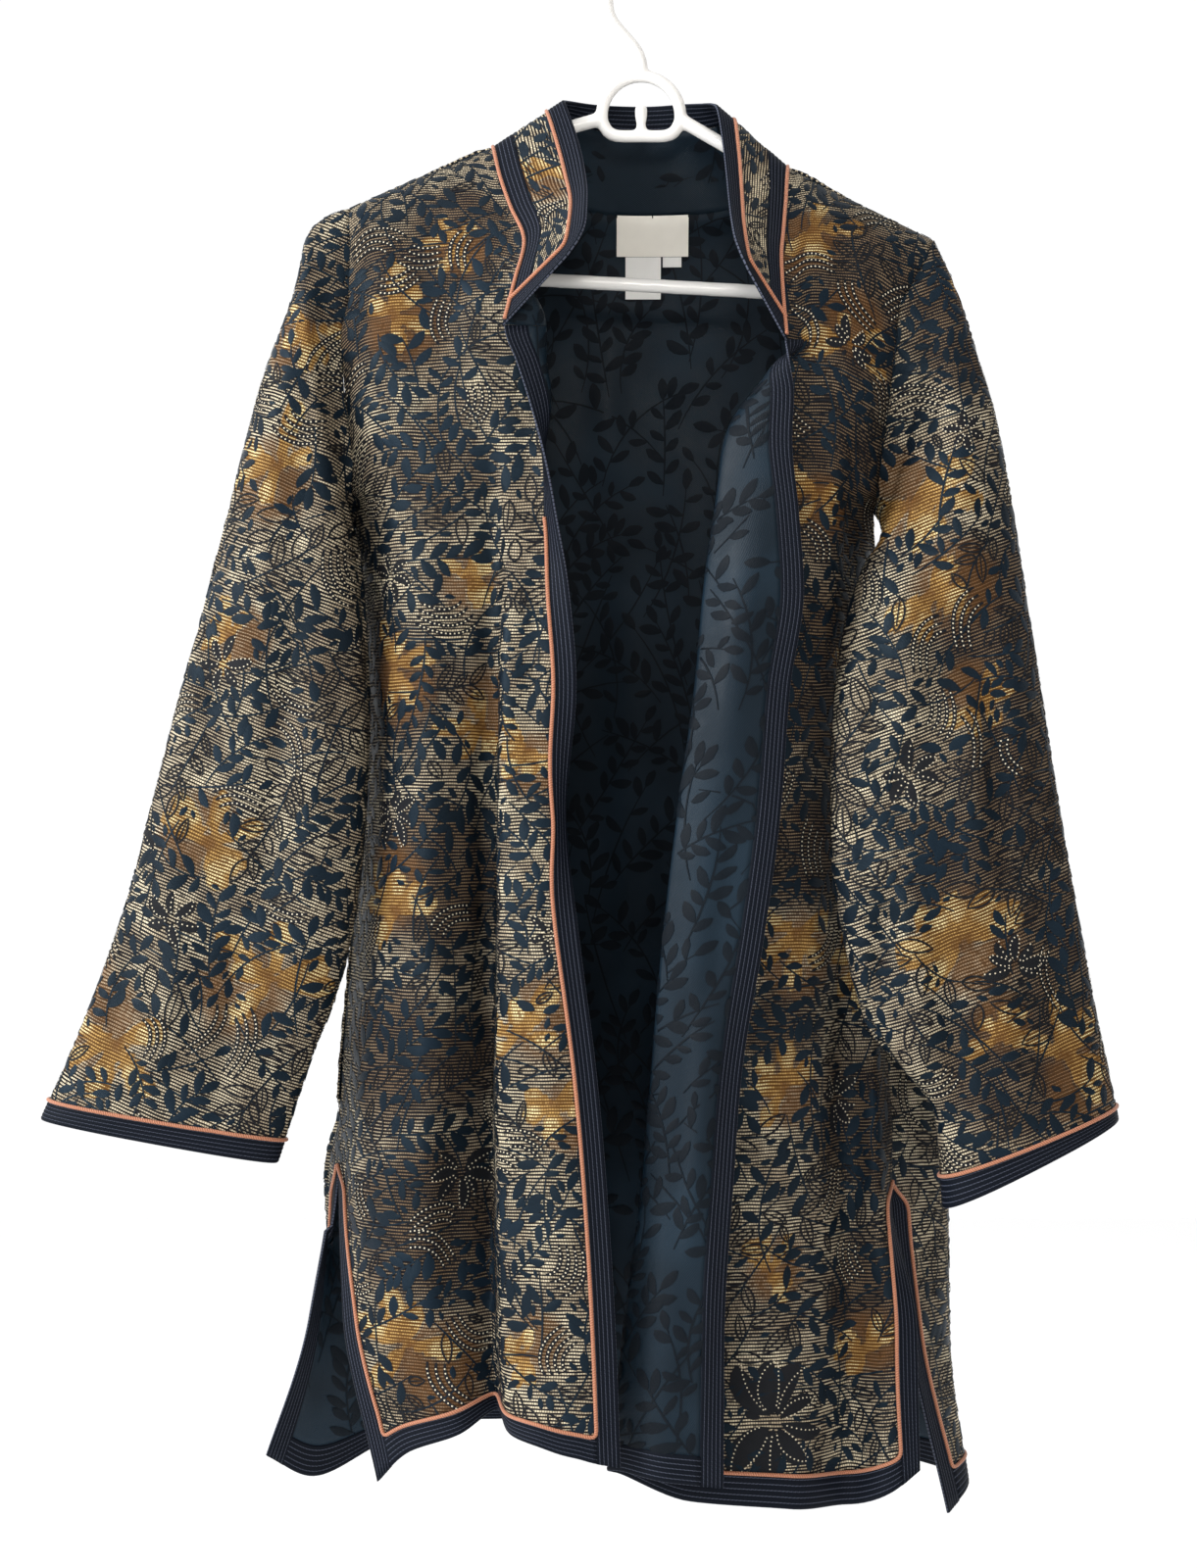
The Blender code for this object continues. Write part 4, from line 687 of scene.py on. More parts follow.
class Shape:
    """Gathers corners, faces, cloth measures and material numbers for one mesh."""

    def __init__(self):
        self.corners, self.faces, self.uvs, self.slots = [], [], [], []
        self.count = 0

    def add(self, corners, faces, uvs=None, slot=0, face_uvs=None):
        corners = np.asarray(corners, float).reshape(-1, 3)
        faces = np.asarray(faces)
        if face_uvs is None:
            flat = np.zeros((len(corners), 2)) if uvs is None else np.asarray(uvs).reshape(-1, 2)
            face_uvs = flat[faces]
        self.corners.append(corners)
        self.faces += (faces + self.count).tolist()
        self.uvs.append(face_uvs.reshape(-1, 2))
        self.slots += [slot] * len(faces)
        self.count += len(corners)

    def build(self, name, materials):
        mesh = bpy.data.meshes.new(name)
        mesh.from_pydata(np.concatenate(self.corners).tolist(), [], self.faces)
        layer = mesh.uv_layers.new(name="cloth")
        layer.data.foreach_set("uv", np.concatenate(self.uvs).astype(np.float32).ravel())
        for material in materials:
            mesh.materials.append(material)
        mesh.polygons.foreach_set("material_index", self.slots)
        mesh.polygons.foreach_set("use_smooth", [True] * len(mesh.polygons))
        mesh.update()
        piece = bpy.data.objects.new(name, mesh)
        bpy.context.collection.objects.link(piece)
        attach(piece, "root")
        return piece


def add_wall(shape, cloth, u, v, half_outer, half_inner, outer_slot, inner_slot, ring=False,
             weave=None):
    """Both faces of a cloth over a net of u and v, joined by a rim round its open sides."""
    rows, columns = u.shape
    half_outer = np.broadcast_to(half_outer, u.shape)
    half_inner = np.broadcast_to(half_inner, u.shape)
    outer = cloth.lifted(u, v, half_outer)
    inner = cloth.lifted(u, v, -half_inner)
    weave = cloth.weave(u, v) if weave is None else weave
    faces = grid_faces(rows, columns, ring)
    a, b, c = outer.reshape(-1, 3)[faces[len(faces) // 2][:3]]
    middle = faces[len(faces) // 2][0]
    away = np.dot(np.cross(b - a, c - a), cloth.outward(u, v).reshape(-1, 3)[middle]) < 0
    flat = weave.reshape(-1, 2)
    face_uvs = flat[faces]
    if ring:
        # The last column's faces run on past the seam instead of back across the whole ring.
        step = flat.reshape(rows, columns, 2)
        beyond = 2 * step[:, -1] - step[:, -2]
        last = np.arange(rows - 1) * columns + columns - 1
        face_uvs[last, 1] = beyond[:-1]
        face_uvs[last, 2] = beyond[1:]
    order = slice(None, None, -1) if away else slice(None)
    shape.add(outer, faces[:, order], face_uvs=face_uvs[:, order], slot=outer_slot)
    shape.add(inner, faces[:, ::-1][:, order], face_uvs=face_uvs[:, ::-1][:, order],
              slot=inner_slot)
    count = rows * columns
    start = shape.count - 2 * count
    index = np.arange(count).reshape(rows, columns)
    both = np.concatenate([flat, flat])
    if ring:
        lines = [np.append(index[0], index[0, 0]), np.append(index[-1], index[-1, 0])[::-1]]
    else:
        lines = [index[0], index[-1, ::-1], index[::-1, 0], index[:, -1]]
    for line in lines:
        low, high = line[:-1], line[1:]
        rim = np.stack([low, low + count, high + count, high], axis=-1)
        rim = rim[:, order]
        shape.faces += (rim + start).tolist()
        shape.uvs.append(both[rim].reshape(-1, 2))
        shape.slots += [outer_slot] * len(rim)


def add_cord(shape, line, radius, sides, closed=False, slot=0):
    """A round cord along the points of line; its cloth measures run round it and along it."""
    line = np.asarray(line, float)
    along = np.roll(line, -1, axis=0) - np.roll(line, 1, axis=0) if closed else np.gradient(line, axis=0)
    along /= np.maximum(np.linalg.norm(along, axis=1, keepdims=True), 1e-12)
    side = np.zeros_like(line)
    guide = np.cross(along[0], TO_VIEWER)
    if np.linalg.norm(guide) < 0.2:
        guide = np.cross(along[0], (1.0, 0.3, 0.2))
    for k in range(len(line)):
        guide = guide - along[k] * np.dot(guide, along[k])
        guide = guide / np.linalg.norm(guide)
        side[k] = guide
    lift = np.cross(side, along)
    turns = np.arange(sides) * 2 * math.pi / sides
    radius = np.broadcast_to(radius, (len(line),))
    ring = (np.cos(turns)[None, :, None] * side[:, None] + np.sin(turns)[None, :, None] * lift[:, None])
    corners = line[:, None] + ring * radius[:, None, None]
    length = lengths_along(line)
    count = len(line)
    if closed:
        corners = np.concatenate([corners, corners[:1]])
        length = np.append(length, length[-1] + np.linalg.norm(line[0] - line[-1]))
        count += 1
    faces = grid_faces(count, sides, True)
    around = np.arange(sides + 1) / sides
    j, i = np.divmod(np.arange(len(faces)), sides)
    face_uvs = np.stack([
        np.stack([around[i], length[j]], axis=-1), np.stack([around[i + 1], length[j]], axis=-1),
        np.stack([around[i + 1], length[j + 1]], axis=-1), np.stack([around[i], length[j + 1]], axis=-1),
    ], axis=1)
    if closed:
        faces = np.where(faces >= (count - 1) * sides, faces - (count - 1) * sides, faces)
        corners = corners[:-1]
    a, b, c = corners.reshape(-1, 3)[faces[0][:3]]
    if np.dot(np.cross(b - a, c - a), a - line[0]) < 0:
        faces, face_uvs = faces[:, ::-1], face_uvs[:, ::-1]
    shape.add(corners, faces, face_uvs=face_uvs, slot=slot)
    if not closed:
        # A flat end of its own; the rings run clockwise as seen along the cord.
        near = np.arange(sides)
        after = (near + 1) % sides
        tip = np.full(sides, sides)
        for ring_start, middle, order in ((0, line[0], 1), ((count - 1) * sides, line[-1], -1)):
            ends = corners.reshape(-1, 3)[ring_start:ring_start + sides]
            face = np.stack([near, after, tip], axis=-1)[:, ::order]
            shape.add(np.concatenate([ends, [middle]]), face, slot=slot)


def node_material(name, colour, roughness):
    """A new material and its shader."""
    material = bpy.data.materials.new(name)
    material.use_nodes = True
    shader = material.node_tree.nodes["Principled BSDF"]
    shader.inputs["Base Color"].default_value = (*colour, 1.0)
    shader.inputs["Roughness"].default_value = roughness
    material.diffuse_color = (*colour, 1.0)
    return material, shader


class Wiring:
    """Short ways to add nodes to a material: each call gives back the new node's output."""

    def __init__(self, material):
        self.tree = material.node_tree
        self.nodes = self.tree.nodes

    def put(self, socket, value):
        if isinstance(value, bpy.types.NodeSocket):
            self.tree.links.new(value, socket)
        elif hasattr(value, "__len__") and len(value) == 3 and socket.type == "RGBA":
            socket.default_value = (*value, 1.0)
        else:
            socket.default_value = value

    def math(self, operation, a, b=None, c=None):
        node = self.nodes.new("ShaderNodeMath")
        node.operation = operation
        for socket, value in zip(node.inputs, (a, b, c)):
            if value is not None:
                self.put(socket, value)
        return node.outputs[0]

    def plus(self, a, b):
        return self.math("ADD", a, b)

    def less(self, a, b):
        return self.math("SUBTRACT", a, b)

    def times(self, a, b):
        return self.math("MULTIPLY", a, b)

    def off_middle(self, value):
        """How far a counting value is from the middle between two whole numbers."""
        return self.math("ABSOLUTE", self.less(self.math("FRACT", value), 0.5))

    def dress(self, shader, colour, roughness, normal, **others):
        """Sets a shader's inputs; the others are named with an underscore for each space."""
        for socket, value in (("Base Color", colour), ("Roughness", roughness), ("Normal", normal)):
            self.put(shader.inputs[socket], value)
        for socket, value in others.items():
            self.put(shader.inputs[socket.replace("_", " ")], value)

    def cloth(self):
        """The cloth measures as one vector, across and down, in metres."""
        node = self.nodes.new("ShaderNodeUVMap")
        node.uv_map = "cloth"
        parts = self.nodes.new("ShaderNodeSeparateXYZ")
        self.put(parts.inputs[0], node.outputs[0])
        return node.outputs[0], parts.outputs[0], parts.outputs[1]

    def join(self, x, y, z=0.0):
        node = self.nodes.new("ShaderNodeCombineXYZ")
        for socket, value in zip(node.inputs, (x, y, z)):
            self.put(socket, value)
        return node.outputs[0]

    def noise(self, vector, scale, detail):
        node = self.nodes.new("ShaderNodeTexNoise")
        self.put(node.inputs["Vector"], vector)
        node.inputs["Scale"].default_value = scale
        node.inputs["Detail"].default_value = detail
        return node.outputs["Fac"]

    def chance(self, vector):
        node = self.nodes.new("ShaderNodeTexWhiteNoise")
        node.noise_dimensions = "2D"
        self.put(node.inputs["Vector"], vector)
        return node.outputs["Value"]

    def step(self, value, low, high, to_low=0.0, to_high=1.0):
        """Goes smoothly from one number to another while the value goes from low to high."""
        node = self.nodes.new("ShaderNodeMapRange")
        node.interpolation_type = "SMOOTHSTEP"
        for socket, given in zip(node.inputs, (value, low, high, to_low, to_high)):
            self.put(socket, given)
        return node.outputs[0]

    def mix(self, share, first, second):
        node = self.nodes.new("ShaderNodeMix")
        node.data_type = "RGBA"
        self.put(node.inputs[0], share)
        self.put(node.inputs[6], first)
        self.put(node.inputs[7], second)
        return node.outputs[2]

    def attribute(self, name, output="Color"):
        node = self.nodes.new("ShaderNodeAttribute")
        node.attribute_name = name
        return node.outputs[output]

    def dot(self, vector, way):
        node = self.nodes.new("ShaderNodeVectorMath")
        node.operation = "DOT_PRODUCT"
        self.put(node.inputs[0], vector)
        self.put(node.inputs[1], way)
        return node.outputs["Value"]

    def bump(self, height, distance, strength):
        node = self.nodes.new("ShaderNodeBump")
        self.put(node.inputs["Height"], height)
        node.inputs["Distance"].default_value = distance
        node.inputs["Strength"].default_value = strength
        return node.outputs[0]


# Pitches of the weaves in metres, and the ribs of a band.
RIB_PITCH = 0.0022
BEAD_PITCH = 0.0017
STITCH_PITCH = 0.0026
CORD_PITCH = 0.0016
LABEL_PITCH = 0.0006
BAND_RIBS = 6
# Colours of the brocade.
CREAM = (0.88, 0.77, 0.55)
CREAM_DIM = (0.47, 0.385, 0.265)
GROUND = (0.011, 0.010, 0.012)
GOLD = (0.56, 0.34, 0.11)
GOLD_LIGHT = (1.0, 0.84, 0.44)
RUST = (0.19, 0.085, 0.030)
# Painted shade: the browner, darker colour of the cream threads where the cloth lies in shade.
SHADE_BROWN = (0.15, 0.085, 0.038)


def brocade_ground():
    """Cream weft ribs, broken into beads, on a near-black ground, dyed gold and brown in patches, with
    painted shade that turns the threads browner, darker and thinner in places.
    """
    material, shader = node_material("brocade_ground", (0.3, 0.22, 0.12), 0.6)
    w = Wiring(material)
    vector, across, down = w.cloth()
    sway = w.noise(vector, 26.0, 2.0)
    lifted = w.plus(down, w.times(w.less(sway, 0.5), 0.004))
    row = w.math("DIVIDE", lifted, RIB_PITCH)
    row_number = w.math("FLOOR", row)
    in_row = w.off_middle(row)
    shift = w.chance(w.join(row_number, 3.1))
    bead = w.plus(w.math("DIVIDE", across, BEAD_PITCH), shift)
    bead_number = w.math("FLOOR", bead)
    in_bead = w.off_middle(bead)
    luck = w.chance(w.join(bead_number, row_number))
    width = w.step(w.noise(vector, 60.0, 3.0), 0.3, 0.7, 0.16, 0.28)
    dye = w.attribute("dye")
    parts = w.nodes.new("ShaderNodeSeparateColor")
    w.put(parts.inputs[0], dye)
    fray = w.noise(w.join(across, w.times(down, 2.2)), 190.0, 3.0)
    fray = w.times(w.less(fray, 0.5), 0.5)
    gold = w.step(w.plus(parts.outputs[0], fray), 0.30, 0.70)
    rust = w.step(w.plus(parts.outputs[1], fray), 0.35, 1.0)
    glow = w.step(w.plus(parts.outputs[2], fray), 0.20, 0.80)
    tone = w.mix(w.step(w.noise(vector, 34.0, 3.0), 0.35, 0.68), CREAM_DIM, CREAM)
    # Painted shade: the alpha of the dye attribute darkens the cream threads towards a dark brown and
    # thins them.
    dark = w.step(w.plus(w.attribute("dye", "Alpha"), fray), 0.10, 0.80)
    tone = w.mix(w.times(dark, 0.85), tone, SHADE_BROWN)
    width = w.less(width, w.times(dark, 0.06))
    rib = w.step(in_row, w.plus(width, 0.07), w.less(width, 0.05))
    gap = w.step(in_bead, 0.47, 0.31, 0.12, 1.0)
    there = w.step(luck, 0.02, 0.10, 0.25, 1.0)
    thread = w.times(rib, w.times(gap, there))
    tone = w.mix(gold, tone, GOLD)
    tone = w.mix(glow, tone, GOLD_LIGHT)
    tone = w.mix(w.times(rust, 0.88), tone, RUST)
    under = w.mix(w.math("MAXIMUM", gold, w.times(rust, 0.7)), GROUND, (0.10, 0.045, 0.012))
    shade = w.mix(w.times(luck, 0.35), tone, (0.12, 0.09, 0.06))
    colour = w.mix(thread, under, shade)
    w.dress(shader, colour, w.step(thread, 0.0, 1.0, 0.75, 0.5), w.bump(thread, 0.0004, 0.7),
            Specular_IOR_Level=0.08)
    return material


def twill(name, colour, light, pitch, roughness, shine=0.16, tint=(1.0, 1.0, 1.0)):
    """A smooth cloth with fine slanted lines."""
    material, shader = node_material(name, colour, roughness)
    w = Wiring(material)
    vector, across, down = w.cloth()
    slant = w.math("DIVIDE", w.plus(across, w.times(down, 0.8)), pitch)
    line = w.step(w.off_middle(slant), 0.1, 0.42)
    cloud = w.noise(vector, 40.0, 3.0)
    mixed = w.mix(w.times(line, 0.5), colour, light)
    mixed = w.mix(w.step(cloud, 0.3, 0.75, 0.0, 0.35), mixed, colour)
    mixed = w.mix(w.step(w.noise(vector, 11.0, 2.0), 0.42, 0.68, 0.0, 0.55), mixed, light)
    w.dress(shader, mixed, w.step(cloud, 0.3, 0.7, roughness - 0.06, roughness + 0.08),
            w.bump(line, 0.00015, 0.6), Specular_IOR_Level=shine, Specular_Tint=tint)
    return material


def band_cloth():
    """Dark ribbed binding with rows of lighter stitches; v runs along it, u across in shares."""
    material, shader = node_material("band_cloth", (0.012, 0.013, 0.020), 0.6)
    w = Wiring(material)
    _, across, down = w.cloth()
    row = w.times(across, BAND_RIBS)
    in_row = w.off_middle(row)
    stitch = w.plus(w.math("DIVIDE", down, STITCH_PITCH),
                    w.times(w.math("FLOOR", row), 0.37))
    dash = w.step(w.off_middle(stitch), 0.42, 0.34)
    seam = w.step(in_row, 0.37, 0.46)
    thread = w.times(seam, dash)
    grain = w.noise(w.join(w.times(across, 0.02), down), 900.0, 2.0)
    base = w.mix(grain, (0.002, 0.003, 0.006), (0.006, 0.009, 0.016))
    w.dress(shader, w.mix(thread, base, (0.075, 0.085, 0.120)), w.step(grain, 0.3, 0.7, 0.5, 0.68),
            w.bump(w.plus(thread, w.times(grain, 0.4)), 0.0003, 0.6),
            Specular_IOR_Level=0.08)
    return material


def cord_cloth():
    """Coral cord: fine slanted threads round it."""
    material, shader = node_material("piping_cloth", (0.62, 0.24, 0.12), 0.5)
    w = Wiring(material)
    _, around, along = w.cloth()
    slant = w.plus(w.math("DIVIDE", along, CORD_PITCH), w.times(around, 2.0))
    line = w.step(w.off_middle(slant), 0.05, 0.45)
    spots = w.noise(w.join(around, w.times(along, 60.0)), 4.0, 2.0)
    colour = w.mix(line, (0.58, 0.235, 0.125), (0.30, 0.095, 0.042))
    w.dress(shader, w.mix(w.times(spots, 0.5), colour, (0.48, 0.19, 0.10)),
            w.step(line, 0.0, 1.0, 0.42, 0.62),
            w.bump(w.less(1.0, line), 0.0003, 0.8), Sheen_Weight=0.2)
    return material


def woven_label(name, colour, roughness):
    material, shader = node_material(name, colour, roughness)
    w = Wiring(material)
    vector, _, down = w.cloth()
    lines = w.off_middle(w.math("DIVIDE", down, LABEL_PITCH))
    cloud = w.noise(vector, 90.0, 3.0)
    darker = tuple(part * 0.86 for part in colour)
    w.dress(shader, w.mix(w.times(cloud, 0.6), colour, darker),
            w.step(cloud, 0.3, 0.7, roughness - 0.05, roughness + 0.07),
            w.bump(lines, 0.0001, 0.4), Sheen_Weight=0.15)
    return material


def hanger_plastic():
    material, shader = node_material("hanger_plastic", (0.80, 0.79, 0.775), 0.3)
    w = Wiring(material)
    place = w.nodes.new("ShaderNodeTexCoord").outputs["Object"]
    cloud = w.noise(place, 60.0, 3.0)
    w.dress(shader, w.mix(cloud, (0.88, 0.87, 0.85), (0.84, 0.83, 0.81)),
            w.step(w.noise(place, 400.0, 2.0), 0.3, 0.7, 0.17, 0.27),
            w.bump(w.noise(place, 700.0, 2.0), 0.00004, 0.3), Coat_Weight=0.15, Coat_Roughness=0.12)
    return material


# Materials by what they are for.
paint = {
    "ground": brocade_ground(),
    "inside": twill("inside_twill", (0.0030, 0.009, 0.016), (0.012, 0.028, 0.046), 0.0011, 0.40),
    "leaf": twill("leaf_satin", (0.003, 0.006, 0.010), (0.009, 0.019, 0.032), 0.0010, 0.38,
                  shine=0.15, tint=(0.60, 0.82, 1.0)),
    "line": twill("outline_thread", (0.004, 0.005, 0.007), (0.012, 0.013, 0.017), 0.0009, 0.60),
    "vine": twill("inside_figure", (0.0012, 0.0035, 0.007), (0.003, 0.008, 0.014), 0.0010, 0.60),
    "dot": twill("cream_dots", (0.70, 0.62, 0.46), (0.80, 0.72, 0.56), 0.0007, 0.55),
    "band": band_cloth(),
    "piping": cord_cloth(),
    "label": woven_label("label_cloth", (0.96, 0.92, 0.83), 0.42),
    "tape": woven_label("tape_cloth", (0.95, 0.94, 0.91), 0.5),
    "plastic": hanger_plastic(),
}


# Woven figures: leaves, stems, outlined leaves, dotted arcs and dotted flowers, laid on the cloth
# as thin raised shapes in its own measures.
RASTER = 0.0012
# Where a leaf's cross lines are along it, how wide its tip is and how ragged its edge, in metres.
LEAF_SHARES = np.array([0.0, 0.12, 0.30, 0.50, 0.70, 0.88, 1.0])
LEAF_TIP = 0.0004
RAGGED = 0.00035
# The width of stems and outlines, and the spacing and size of dots.
THREAD = 0.0013
DOT_SPACING = 0.0026
DOT_SIZE = 0.0012
# How wide a dotted arc is, and the gap from its middle to the next one's.
ARC_WIDTH = 0.0028
ARC_GAP = 0.0046
# How far the lines of each kind of figure stand above the lowest, in mm.
LEAF_LIFTS_MM = (0.0, 0.30, 0.0)
DOT_LIFTS_MM = (0.30, 0.42, 0.30)
THREAD_LIFT_MM = 0.12
ARC_LIFT_MM = 0.14
# Figures are tried this often for each square metre of a cloth; most find no room.
ARC_TRIES = 230
SPRIG_TRIES = 9000
OUTLINE_TRIES = 9000
LEAF_TRIES = 60000
INSIDE_TRIES = 1500
# A face with diagonals that span less than this, in square metres, is left out.
NO_AREA = 2e-9


class Figures:
    """Plans the figures of one face of a cloth and builds them on it."""

    def __init__(self, cloth, held, face, seed):
        self.cloth, self.held, self.face = cloth, held, face
        self.draw = random.Random(seed)
        shares = np.linspace(0.0, 1.0, 60)
        inside = cloth.weave(*net_of(shares, shares)).reshape(-1, 2)
        self.low, self.high = inside.min(axis=0), inside.max(axis=0)
        size = ((self.high - self.low) / RASTER).astype(int) + 2
        self.taken = np.zeros((size[1], size[0]), bool)
        self.nets = []

    def spots(self, outline):
        """The raster cells that a patch between the outline's points covers, roughly."""
        cells = ((outline - self.low) / RASTER).astype(int)
        good = np.all((cells >= 0) & (cells < np.array(self.taken.shape[::-1])), axis=1)
        return cells[good]

    def free(self, points, most=0.2):
        cells = self.spots(points)
        if len(cells) < 0.3 * len(points):
            return False
        return self.taken[cells[:, 1], cells[:, 0]].mean() <= most

    def take(self, points, grow=1):
        cells = self.spots(points)
        for dx in range(-grow, grow + 1):
            for dy in range(-grow, grow + 1):
                x = np.clip(cells[:, 0] + dx, 0, self.taken.shape[1] - 1)
                y = np.clip(cells[:, 1] + dy, 0, self.taken.shape[0] - 1)
                self.taken[y, x] = True

    def net(self, points, lifts, slot):
        """Adds a small net (rows, columns, 2) of measures with a height in mm for each column."""
        self.nets.append((points, np.asarray(lifts, float) / 1000.0, slot))

    def leaf(self, place, angle, length, width, slot=0, bend=0.0, most=0.2, force=False):
        """A pointed leaf from its foot; False where there is no room."""
        shares = LEAF_SHARES
        half = width / 2.0 * np.sin(math.pi * shares ** 1.15) ** 0.7 + LEAF_TIP / 2
        spine_angle = angle + bend * (shares - 0.5)
        steps = np.diff(shares) * length
        ways = ways_of(spine_angle)
        spine = np.concatenate([[place], place + np.cumsum(ways[:-1] * steps[:, None], axis=0)])
        across = beside(ways)
        ragged = np.array([self.draw.uniform(-RAGGED, RAGGED) for _ in shares]) * (half > 0.0006)
        left = spine + across * (half + ragged)[:, None]
        right = spine - across * (half - ragged)[:, None]
        fill = np.concatenate([spine, (spine + left) / 2, (spine + right) / 2])
        if not force and not self.free(fill, most):
            return False
        self.take(fill, 1)
        self.net(np.stack([left, spine, right], axis=1), LEAF_LIFTS_MM, slot)
        return True

    def line(self, points, width, slot=1, taper=True, lift=THREAD_LIFT_MM):
        """A thread along the points."""
        points = np.asarray(points, float)
        way = np.gradient(points, axis=0)
        way /= np.maximum(np.linalg.norm(way, axis=1, keepdims=True), 1e-9)
        across = beside(way)
        shares = np.linspace(0.0, 1.0, len(points))
        half = width / 2 * (0.55 + 0.45 * np.sin(math.pi * shares) if taper else np.ones(len(points)))
        self.net(np.stack([points + across * half[:, None], points - across * half[:, None]], axis=1),
                 (lift, lift), slot)

    def outlined_leaf(self, place, angle, length, width, most=0.25):
        """The outline of a leaf, sometimes with its midrib; False where there is no room."""
        shares = np.linspace(0.0, 1.0, 8)
        half = width / 2.0 * np.sin(math.pi * shares ** 0.85) ** 0.8
        way = np.array([math.cos(angle), math.sin(angle)])
        side = np.array([-way[1], way[0]])
        spine = place + way * (shares * length)[:, None]
        left, right = spine + side * half[:, None], spine - side * half[:, None]
        fill = np.concatenate([spine, left, right])
        if not self.free(fill, most):
            return False
        self.take(fill, 1)
        self.line(np.concatenate([left, right[-2::-1]]), THREAD, taper=False)
        if self.draw.random() < 0.6:
            self.line(spine[:-1], THREAD * 0.8)
        return True

    def dots(self, points, spacing, size, slot=2):
        points = resampled(points, spacing)
        turns = np.linspace(0.0, 2 * math.pi, 7)[:-1]
        for point in points:
            ring = point + size / 2 * ways_of(turns)
            self.net(np.array([[ring[0], ring[1], ring[2]], [ring[5], ring[4], ring[3]]]),
                     DOT_LIFTS_MM, slot)

    def sprig(self, place, angle, length, leaves, leaf_length, outlined=False, slot=0):
        """A curved stem with leaves on both sides and one at its tip."""
        draw = self.draw
        bend = draw.uniform(-1.1, 1.1)
        shares = np.linspace(0.0, 1.0, 9)
        turn = angle + bend * shares
        steps = ways_of(turn) * length / 8
        stem = place + np.cumsum(steps, axis=0) - steps[:1]
        if not self.free(stem, 0.35):
            return False
        grown = 0
        for k in range(leaves):
            at = 0.12 + 0.80 * k / max(leaves - 1, 1)
            foot = np.array([np.interp(at, shares, stem[:, c]) for c in range(2)])
            way = angle + bend * at
            side = 1 if k % 2 else -1
            spread = side * math.radians(draw.uniform(32, 62))
            size = leaf_length * draw.uniform(0.75, 1.2)
            width = size * draw.uniform(0.34, 0.46)
            if outlined:
                grown += self.outlined_leaf(foot, way + spread, size * 1.15, width * 1.1)
            else:
                grown += self.leaf(foot, way + spread, size, width, slot,
                                   bend=-side * draw.uniform(0.0, 0.7))
        tip = stem[-1]
        if outlined:
            self.outlined_leaf(tip, angle + bend, leaf_length * 1.2, leaf_length * 0.5)
        else:
            self.leaf(tip, angle + bend, leaf_length, leaf_length * 0.42, slot)
        if grown:
            self.line(stem, THREAD, slot=slot)
            self.take(resampled(stem, RASTER), 0)
        return bool(grown)

    def dotted_arcs(self, place, angle, length, count):
        """A sheaf of curved dark threads, each with a row of light dots."""
        draw = self.draw
        shares = np.linspace(0.0, 1.0, 10)
        curl = draw.choice((-1, 1)) * draw.uniform(0.9, 1.7)
        whole = []
        for k in range(count):
            long = length * (1.0 - 0.13 * k)
            turn = angle + curl * shares ** 1.8
            steps = ways_of(turn) * long / 9
            side = np.array([-math.sin(angle), math.cos(angle)]) * ARC_GAP * k * (1 if curl > 0 else -1)
            whole.append(place + side + np.cumsum(steps, axis=0))
        if not self.free(np.concatenate(whole), 0.15):
            return False
        for arc in whole:
            self.line(arc, ARC_WIDTH, slot=1, lift=ARC_LIFT_MM)
            self.dots(arc[1:-1], DOT_SPACING, DOT_SIZE)
            self.take(resampled(arc, RASTER), 1)
        return True

    def dotted_fan(self, place, size, petals):
        """A dark flower seen from the side: curled petals in a fan, with rows of light dots."""
        draw = self.draw
        middle = self.any_way()
        spread = draw.uniform(3.6, 4.8)
        for k in range(petals):
            angle = middle + spread * (k / (petals - 1) - 0.5) + draw.uniform(-0.12, 0.12)
            long = size * draw.uniform(0.36, 0.56)
            wide = long * draw.uniform(0.34, 0.46)
            foot = place + np.array([math.cos(angle), math.sin(angle)]) * size * 0.06
            curl = draw.uniform(0.5, 1.1) * (1 if k * 2 < petals else -1)
            self.leaf(foot, angle, long, wide, 1, bend=curl, force=True)
            shares = np.linspace(0.12, 0.92, 11)
            turn = angle + curl * (shares - 0.5)
            way = ways_of(turn)
            side = beside(way)
            spine = foot + np.cumsum(way * long * 0.08, axis=0) + way[:1] * long * 0.06
            half = wide * (0.40 if k % 2 else 0.12) * np.sin(math.pi * shares ** 0.85) ** 0.8
            rim = np.concatenate([spine + side * half[:, None], (spine - side * half[:, None])[::-1]])
            self.dots(rim if k % 2 else spine, DOT_SPACING, 0.0011)
        seeds = draw.randint(2, 4)
        for k in range(seeds):
            angle = middle + math.pi + draw.uniform(-0.8, 0.8)
            far = size * draw.uniform(0.10, 0.25)
            self.leaf(place + far * np.array([math.cos(angle), math.sin(angle)]), angle,
                      size * 0.14, size * 0.07, 1, force=True)

    def tries(self, for_each_square_metre):
        span = self.high - self.low
        return range(int(span[0] * span[1] * for_each_square_metre))

    def any_way(self):
        return self.draw.uniform(0.0, 2 * math.pi)

    def anywhere(self):
        return np.array([self.draw.uniform(self.low[0], self.high[0]),
                         self.draw.uniform(self.low[1], self.high[1])])

